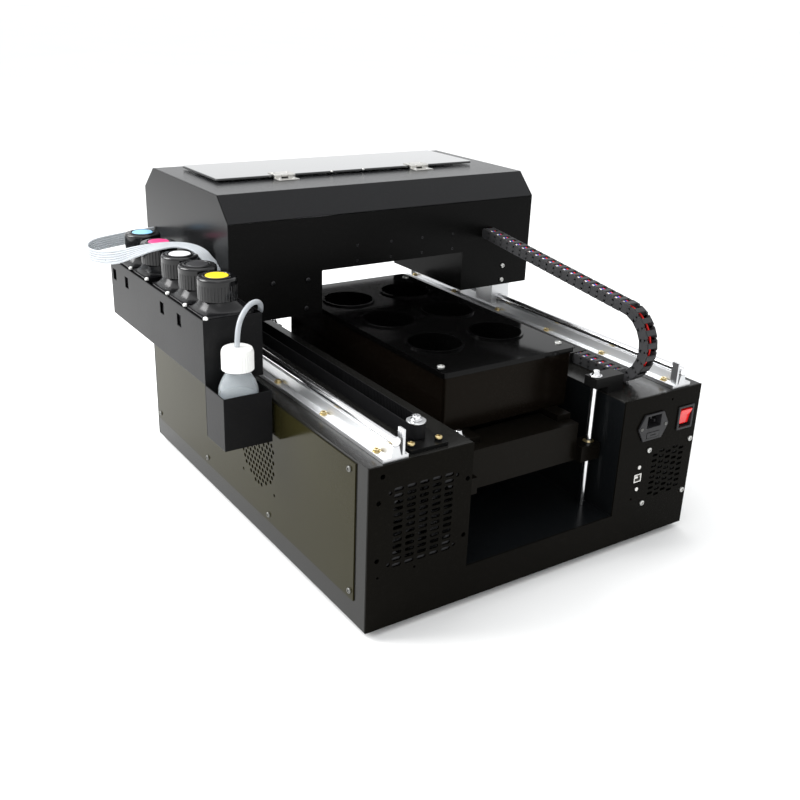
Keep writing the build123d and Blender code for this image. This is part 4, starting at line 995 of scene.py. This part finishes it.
lid_gloss = finish("lid_gloss", lid_black)
softened("lid", 0.0005, lid_gloss)
hinge_nickel = finish("hinge_nickel", plated((0.66, 0.65, 0.62), 0.22))
softened("lid_leaves", 0.0003, hinge_nickel)
softened("hinge_leaves", 0.0003, hinge_nickel)

hood_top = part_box("gantry_cover")[1].z
lid_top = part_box("lid")[1].z
leaf_t = 0.0012
hinge_screw_side = 10
for name, body, y, level in (
    ("hood_hinge_screws", "gantry", 420, hood_top + leaf_t),
    ("lid_hinge_screws", "lid", 438.5, lid_top + leaf_t),
):
    hinge_screws = bmesh.new()
    for x in (132, 342):
        for side in (-hinge_screw_side, hinge_screw_side):
            place = from_corner(x + side, y, 0)
            place.z = level
            pan_head(hinge_screws, place, (0, 0, 1), 0.0021, 0.0008)
    place_built(name, hinge_screws, zinc, body)

lid_pin = ((0.0013, 0), (0.0016, 0.0004), (0.0016, 0.0016), (0.0010, 0.0022), (0, 0.0024))
lid_pin_y = 431.5
lid_pin_drop = 0.0014
lid_pins = bmesh.new()
for x in (204, 253):
    place = from_corner(x, lid_pin_y, 0)
    place.z = lid_top - lid_pin_drop
    turned(lid_pins, lid_pin, place, (0, -1, 0.3), 16)
place_built("lid_pins", lid_pins, hinge_nickel, "lid", crease=no_crease)

# ------------------------ ink tray and tanks
# A folded black tray hangs on the gantry's left end and holds five moulded tanks with
# sloping shoulders. A small white bead at each tank's front corner is a painted highlight.
tray_paint = finish("tray_paint", black_paint((0.0080, 0.0080, 0.0084), 0.36, 0.18))
softened("ink_tray", 0.0005, tray_paint)
tank_plastic = finish("tank_plastic", moulded((0.0045, 0.0045, 0.0050), 0.20, 0.05, shine=0.30))
tanks_low, tanks_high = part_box("ink_tanks")
tank_half_x = 0.031
tank_half_y = 0.026
tank_corner = 14
shoulder_low = 0.076
shoulder_high = 0.0868
shoulder_steps = 9
shoulder_bend = 2.4
mouth_r = 0.0205
tank_neck_r = 0.0148
neck_foot = 0.0002
tank_sides = 64
# Each level goes a share of the way in to the mouth, a share up the shoulder and a share
# up from the foot.
tank_levels = [(0.0, 0.0, 0.0), (0.0, 0.0, 1.0)]
for k in range(1, shoulder_steps + 1):
    tank_levels.append((k / shoulder_steps, (k / shoulder_steps) ** shoulder_bend, 1.0))
tanks = bmesh.new()
for ink, tank_front in (
    ("yellow", 244), ("black", 299), ("white", 352), ("magenta", 421), ("blue", 478)
):
    cap_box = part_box("ink_cap_" + ink)
    mouth = (cap_box[0] + cap_box[1]) / 2
    middle = from_corner(0, tank_front + 1000 * tank_half_y, 0)
    middle.x = (tanks_low.x + tanks_high.x) / 2
    turns = [2 * math.pi * (k + 0.5) / tank_sides for k in range(tank_sides)]
    rings = []
    for across, rise, up in tank_levels:
        ring = []
        for turn in turns:
            way = Vector((math.cos(turn), math.sin(turn), 0))
            square = (
                abs(way.x / tank_half_x) ** tank_corner + abs(way.y / tank_half_y) ** tank_corner
            ) ** (-1 / tank_corner)
            place = middle.lerp(mouth, across) + way * (square + (mouth_r - square) * across)
            place.z = tanks_low.z + up * (shoulder_low + (shoulder_high - shoulder_low) * rise)
            ring.append(tanks.verts.new(place))
        rings.append(ring)
    for level in (tanks_low.z + shoulder_high + neck_foot, tanks_high.z):
        rings.append([
            tanks.verts.new((
                mouth.x + tank_neck_r * math.cos(turn),
                mouth.y + tank_neck_r * math.sin(turn),
                level,
            ))
            for turn in turns
        ])
    join_rings(tanks, rings)
place_built(
    "ink_tanks_smooth", tanks, tank_plastic, "gantry", ["ink_tanks"], crease=50
)

tray_low, tray_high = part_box("ink_tray")
bead_shape = ((0.0026, 0), (0.0028, 0.0014), (0.0025, 0.0028), (0.0014, 0.0037), (0, 0.0039))
bead_inset_x = 0.0045
bead_inset_y = 3
bead_sink = 0.0005
# The white beads are painted highlights on the tanks' rounded front corners. Their white finish is
# also the bottle cap's real white plastic.
beads = bmesh.new()
for y in (241.8, 299, 351.8, 420.6, 478):
    place = from_corner(0, y + bead_inset_y, 0)
    place.x = tray_low.x + bead_inset_x
    place.z = tray_high.z - bead_sink
    turned(beads, bead_shape, place, sides=16)
glint_and_cap_white = finish("glint_and_cap_white", moulded((0.80, 0.80, 0.78), 0.3, 0.05, 1.1))
place_built("tank_glint_beads", beads, glint_and_cap_white, "gantry", crease=no_crease)

# ------------------------ ink caps
# Five ribbed screw caps of glossy black plastic. A round disc on each shows which ink it is:
# yellow, black, white, magenta and light blue.
cap_plastic = finish("cap_plastic", moulded((0.0030, 0.0030, 0.0034), 0.09, 0.03, shine=0.40))


def disc_ink(colour):
    def build(blank):
        cloud = blank.noise(120)
        return {
            "Base Color": cloud.tint(tuple(0.85 * channel for channel in colour), colour),
            "Roughness": 0.25 + cloud * 0.15,
            "Normal": cloud.bump(0.05, 0.0003),
        }
    return build


disc_shape = ((0.0130, 0), (0.0130, 0.0005), (0.0125, 0.0009), (0.008, 0.0010), (0, 0.0011))
disc_rim = (
    (0.0165, 0), (0.0165, 0.0006), (0.0158, 0.0010), (0.0146, 0.0010), (0.0140, 0.0005),
    (0.0140, 0),
)
for ink, colour in (
    ("yellow", (0.86, 0.62, 0.015)),
    ("black", (0.022, 0.022, 0.024)),
    ("white", (0.80, 0.80, 0.80)),
    ("magenta", (0.72, 0.035, 0.20)),
    ("blue", (0.20, 0.50, 0.78)),
):
    node = "ink_cap_" + ink
    softened(node, 0.0005, cap_plastic, angle=28)
    low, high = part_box(node)
    top = Vector(((low.x + high.x) / 2, (low.y + high.y) / 2, high.z))
    disc = bmesh.new()
    turned(disc, disc_shape, top, sides=40)
    turned(disc, disc_rim, top, sides=40, finish_index=1)
    disc_finishes = [finish("disc_" + ink, disc_ink(colour)), cap_plastic]
    place_built("ink_disc_" + ink, disc, disc_finishes, "cap_" + ink)

# ------------------------ bottle holder and waste bottle
# A folded holder at the tray's front end carries a clear waste bottle with a white sleeve
# and a ribbed white cap. The waste tube comes out of the cap.
softened("bottle_holder", 0.0005, tray_paint)

bottle_low, bottle_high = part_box("waste_bottle")
bottle_place = (bottle_low + bottle_high) / 2
bottle_place.z = bottle_low.z
bottle_r = (bottle_high.x - bottle_low.x) / 2
bottle_cap_h = 0.025
bottle_cap_low = (bottle_high.z - bottle_low.z) - bottle_cap_h
bottle_wall = 0.0012


def clear_plastic(blank):
    cloud = blank.noise(70)
    return {
        "Base Color": cloud.tint((0.80, 0.86, 0.90), (0.92, 0.96, 0.98)),
        "Roughness": 0.05 + cloud * 0.10,
        "Normal": cloud.bump(0.12, 0.002),
        "Transmission Weight": 0.8,
        "IOR": 1.30,
    }


bottle = bmesh.new()
turned(
    bottle,
    (
        (0, 0.0025), (bottle_r * 0.55, 0.0012), (bottle_r * 0.86, 0), (bottle_r * 0.97, 0.0025),
        (bottle_r, 0.006), (bottle_r, 0.055), (bottle_r * 0.97, 0.062), (bottle_r * 0.86, 0.069),
        (0.0155, 0.076), (0.0140, 0.079), (0.0140, bottle_cap_low - 0.0004),
        (0.0128, bottle_cap_low - 0.0004), (0.0128, 0.079), (0.0143, 0.0752),
        (bottle_r * 0.86 - bottle_wall, 0.0680), (bottle_r - 0.0019, 0.061),
        (bottle_r - bottle_wall, 0.055), (bottle_r - bottle_wall, 0.006),
        (bottle_r * 0.86, 0.0015), (0, 0.0034),
    ),
    bottle_place, sides=48,
)
bottle_plastic = finish("clear_plastic", clear_plastic)
place_built(
    "bottle_body", bottle, bottle_plastic, "gantry", ["waste_bottle"],
    crease=no_crease,
)


def waste_ink(blank):
    cloud = blank.noise(50)
    return {
        "Base Color": cloud.tint((0.70, 0.73, 0.77), (0.86, 0.88, 0.90)),
        "Roughness": 0.1 + cloud * 0.05,
        "Normal": cloud.bump(0.02, 0.001),
        "Transmission Weight": 0.15,
        "IOR": 1.34,
    }


fill_r = bottle_r - 0.0016
fill_shape = (
    (0, 0.0040), (fill_r * 0.8, 0.0042), (fill_r, 0.008), (fill_r, 0.0200),
    (fill_r - 0.001, 0.0204), (0, 0.0204),
)
fill = bmesh.new()
turned(fill, fill_shape, bottle_place, sides=40)
ink_liquid = finish("waste_ink", waste_ink)
place_built("waste_ink", fill, ink_liquid, "gantry", crease=no_crease)

sleeve_in = bottle_r + 0.0001
sleeve_out = bottle_r + 0.0004
sleeve_shape = (
    (sleeve_in, 0.024), (sleeve_out, 0.0242), (sleeve_out, 0.0520), (sleeve_in, 0.0522)
)
sleeve = bmesh.new()
turned(sleeve, sleeve_shape, bottle_place, sides=48)
sleeve_ends = [face for face in sleeve.faces if len(face.verts) > 4]
bmesh.ops.delete(sleeve, geom=sleeve_ends, context="FACES_ONLY")


def paper_sleeve(blank):
    fibre = blank.noise(900, detail=4)
    cloud = blank.noise(40)
    return {
        "Base Color": cloud.tint((0.74, 0.76, 0.78), (0.84, 0.85, 0.86)),
        "Roughness": 0.45 + fibre * 0.2,
        "Normal": fibre.bump(0.08, 0.0002),
    }


sleeve_paper = finish("paper_sleeve", paper_sleeve)
place_piece("bottle_sleeve", sleeve, sleeve_paper, "gantry")

bottle_cap = bmesh.new()
cap_sides = 72
cap_r = 0.018
cap_rib = 0.0006
rings = []
for radius, height, ribbed in (
    (cap_r, 0, True), (cap_r, 0.019, True), (cap_r - 0.0004, 0.0215, True),
    (cap_r - 0.0015, 0.0240, False), (cap_r - 0.0035, bottle_cap_h, False),
):
    ring = []
    for k in range(cap_sides):
        turn = 2 * math.pi * k / cap_sides
        reach = radius - (cap_rib if ribbed and k % 2 else 0.0)
        ring.append(bottle_cap.verts.new(bottle_place + Vector((
            reach * math.cos(turn), reach * math.sin(turn), bottle_cap_low + height
        ))))
    rings.append(ring)
join_rings(bottle_cap, rings)
place_built("bottle_cap", bottle_cap, glint_and_cap_white, "gantry")

# ------------------------ drag chain
# Moulded links with side plates that overlap and bars that snap across. The lower run is fixed
# to the deck, the bend rolls half as far as the gantry, and the upper run ends on it.
chain_plastic = finish("chain_plastic", moulded((0.022, 0.022, 0.023), 0.48, 0.9, 2.2))
chain_x = 384
chain_w = 18
chain_h = 14
chain_middle_x = chain_x + chain_w / 2
bend_y = 62
bend_r = 43
bend_low, bend_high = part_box("drag_chain_bend")
bend_z = 1000 * ((bend_low.z + bend_high.z) / 2 - corner.z)
chain_join_z = 316
lower_run = 68
plate_t = 2.2
pin_r = 2.3
pin_t = 0.35


def chain_frame(run, share):
    """A point of the chain's middle line and the way it runs: run is upper, bend or lower."""
    if run == "upper":
        start = Vector((chain_middle_x, bend_y, bend_z + bend_r))
        end = Vector((chain_middle_x, gantry_front_y, chain_join_z))
        return start.lerp(end, share), (end - start).normalized()
    if run == "lower":
        start = Vector((chain_middle_x, bend_y, bend_z - bend_r))
        return start + Vector((0, lower_run * share, 0)), Vector((0, 1, 0))
    turn = math.pi * share
    place = Vector((
        chain_middle_x, bend_y - bend_r * math.sin(turn), bend_z - bend_r * math.cos(turn)
    ))
    return place, Vector((0, -math.cos(turn), math.sin(turn)))


def add_link(mesh, place, ahead, length):
    """One link: two side plates with a waisted outline, a pin on each, and two bars across."""
    across = Vector((1, 0, 0))
    up = ahead.cross(across)
    if up.z < 0 and abs(ahead.z) < 0.5:
        up = -up

    def slab(points, *sides):
        low, high = sorted(sides)
        rims = [
            [
                mesh.verts.new(from_corner(*(place + ahead * a + up * b + across * c)))
                for a, b in points
            ]
            for c in (low, high)
        ]
        mesh.faces.new(rims[0][::-1])
        mesh.faces.new(rims[1])
        for k in range(len(points)):
            after = (k + 1) % len(points)
            mesh.faces.new((rims[0][k], rims[0][after], rims[1][after], rims[1][k]))

    half = length / 2
    tall = chain_h / 2
    wide = chain_w / 2
    outline = (
        (-half - 2.2, -tall * 0.45), (-half + 0.6, -tall * 0.90), (half - 1.4, -tall * 0.90),
        (half + 1.2, -tall * 0.4), (half + 1.2, tall * 0.4), (half - 1.4, tall * 0.90),
        (-half + 0.6, tall * 0.90), (-half - 2.2, tall * 0.45),
    )
    pin_turns = [k * math.pi / 5 for k in range(10)]
    pin = [(pin_r * math.cos(turn) + half - 0.6, pin_r * math.sin(turn)) for turn in pin_turns]
    for side in (-1, 1):
        slab(outline, side * (wide - plate_t), side * wide)
        slab(pin, side * wide, side * (wide + pin_t))
    bar = ((-half + 2.4, -1.44), (-half + 3.0, 0), (half - 4.6, 0), (half - 4.0, -1.44))
    for flip in (1, -1):
        slab([(a, flip * (tall + b)) for a, b in bar], -wide + 2.0, wide - 2.0)


wire_finishes = [
    finish("wire_red", moulded((0.55, 0.015, 0.012), 0.35, 0.05)),
    finish("wire_white", moulded((0.72, 0.72, 0.70), 0.35, 0.05, 1.1)),
    finish("wire_blue", moulded((0.02, 0.07, 0.40), 0.35, 0.05)),
    finish("wire_black", moulded((0.012, 0.012, 0.012), 0.35, 0.05)),
]
# Each wire's place across the chain and off its middle line, and its finish.
wire_lanes = (
    (-4.8, 3.6, 0), (-2.0, 4.1, 1), (0.8, 4.1, 2), (3.4, 4.2, 0), (5.2, 3.2, 3), (-4, -1.6, 3),
    (1.6, -1.5, 0),
)
wire_r = 0.0012
wire_waves = 9
wire_sway = 0.5
for run, body, run_length, links, steps in (
    ("lower", None, lower_run, 5, 10),
    ("bend", "chain_bend", math.pi * bend_r, 10, 40),
    ("upper", "gantry", gantry_front_y - bend_y, 20, 24),
):
    chain = bmesh.new()
    for k in range(links):
        place, ahead = chain_frame(run, (k + 0.5) / links)
        add_link(chain, place, ahead, run_length / links)
    wires = bmesh.new()
    outward = 1 if run == "bend" else -1
    for lane, lift, colour in wire_lanes:
        line = []
        for k in range(steps + 1):
            place, ahead = chain_frame(run, k / steps)
            up = ahead.cross(Vector((1, 0, 0)))
            sway = wire_sway * math.sin(wire_waves * k / steps + lane)
            line.append(from_corner(*(place + up * (lift * outward) + Vector((lane + sway, 0, 0)))))
        add_tube(wires, line, wire_r, 8, colour)
    chain_piece = place_built(
        "chain_links_" + run, chain, chain_plastic, body,
        ["drag_chain_" + run], crease=no_crease,
    )
    wire_piece = place_piece("chain_wires_" + run, wires, wire_finishes, body)
    for piece in (chain_piece, wire_piece):
        if run == "upper":
            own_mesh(piece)
        if run == "lower":
            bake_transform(piece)
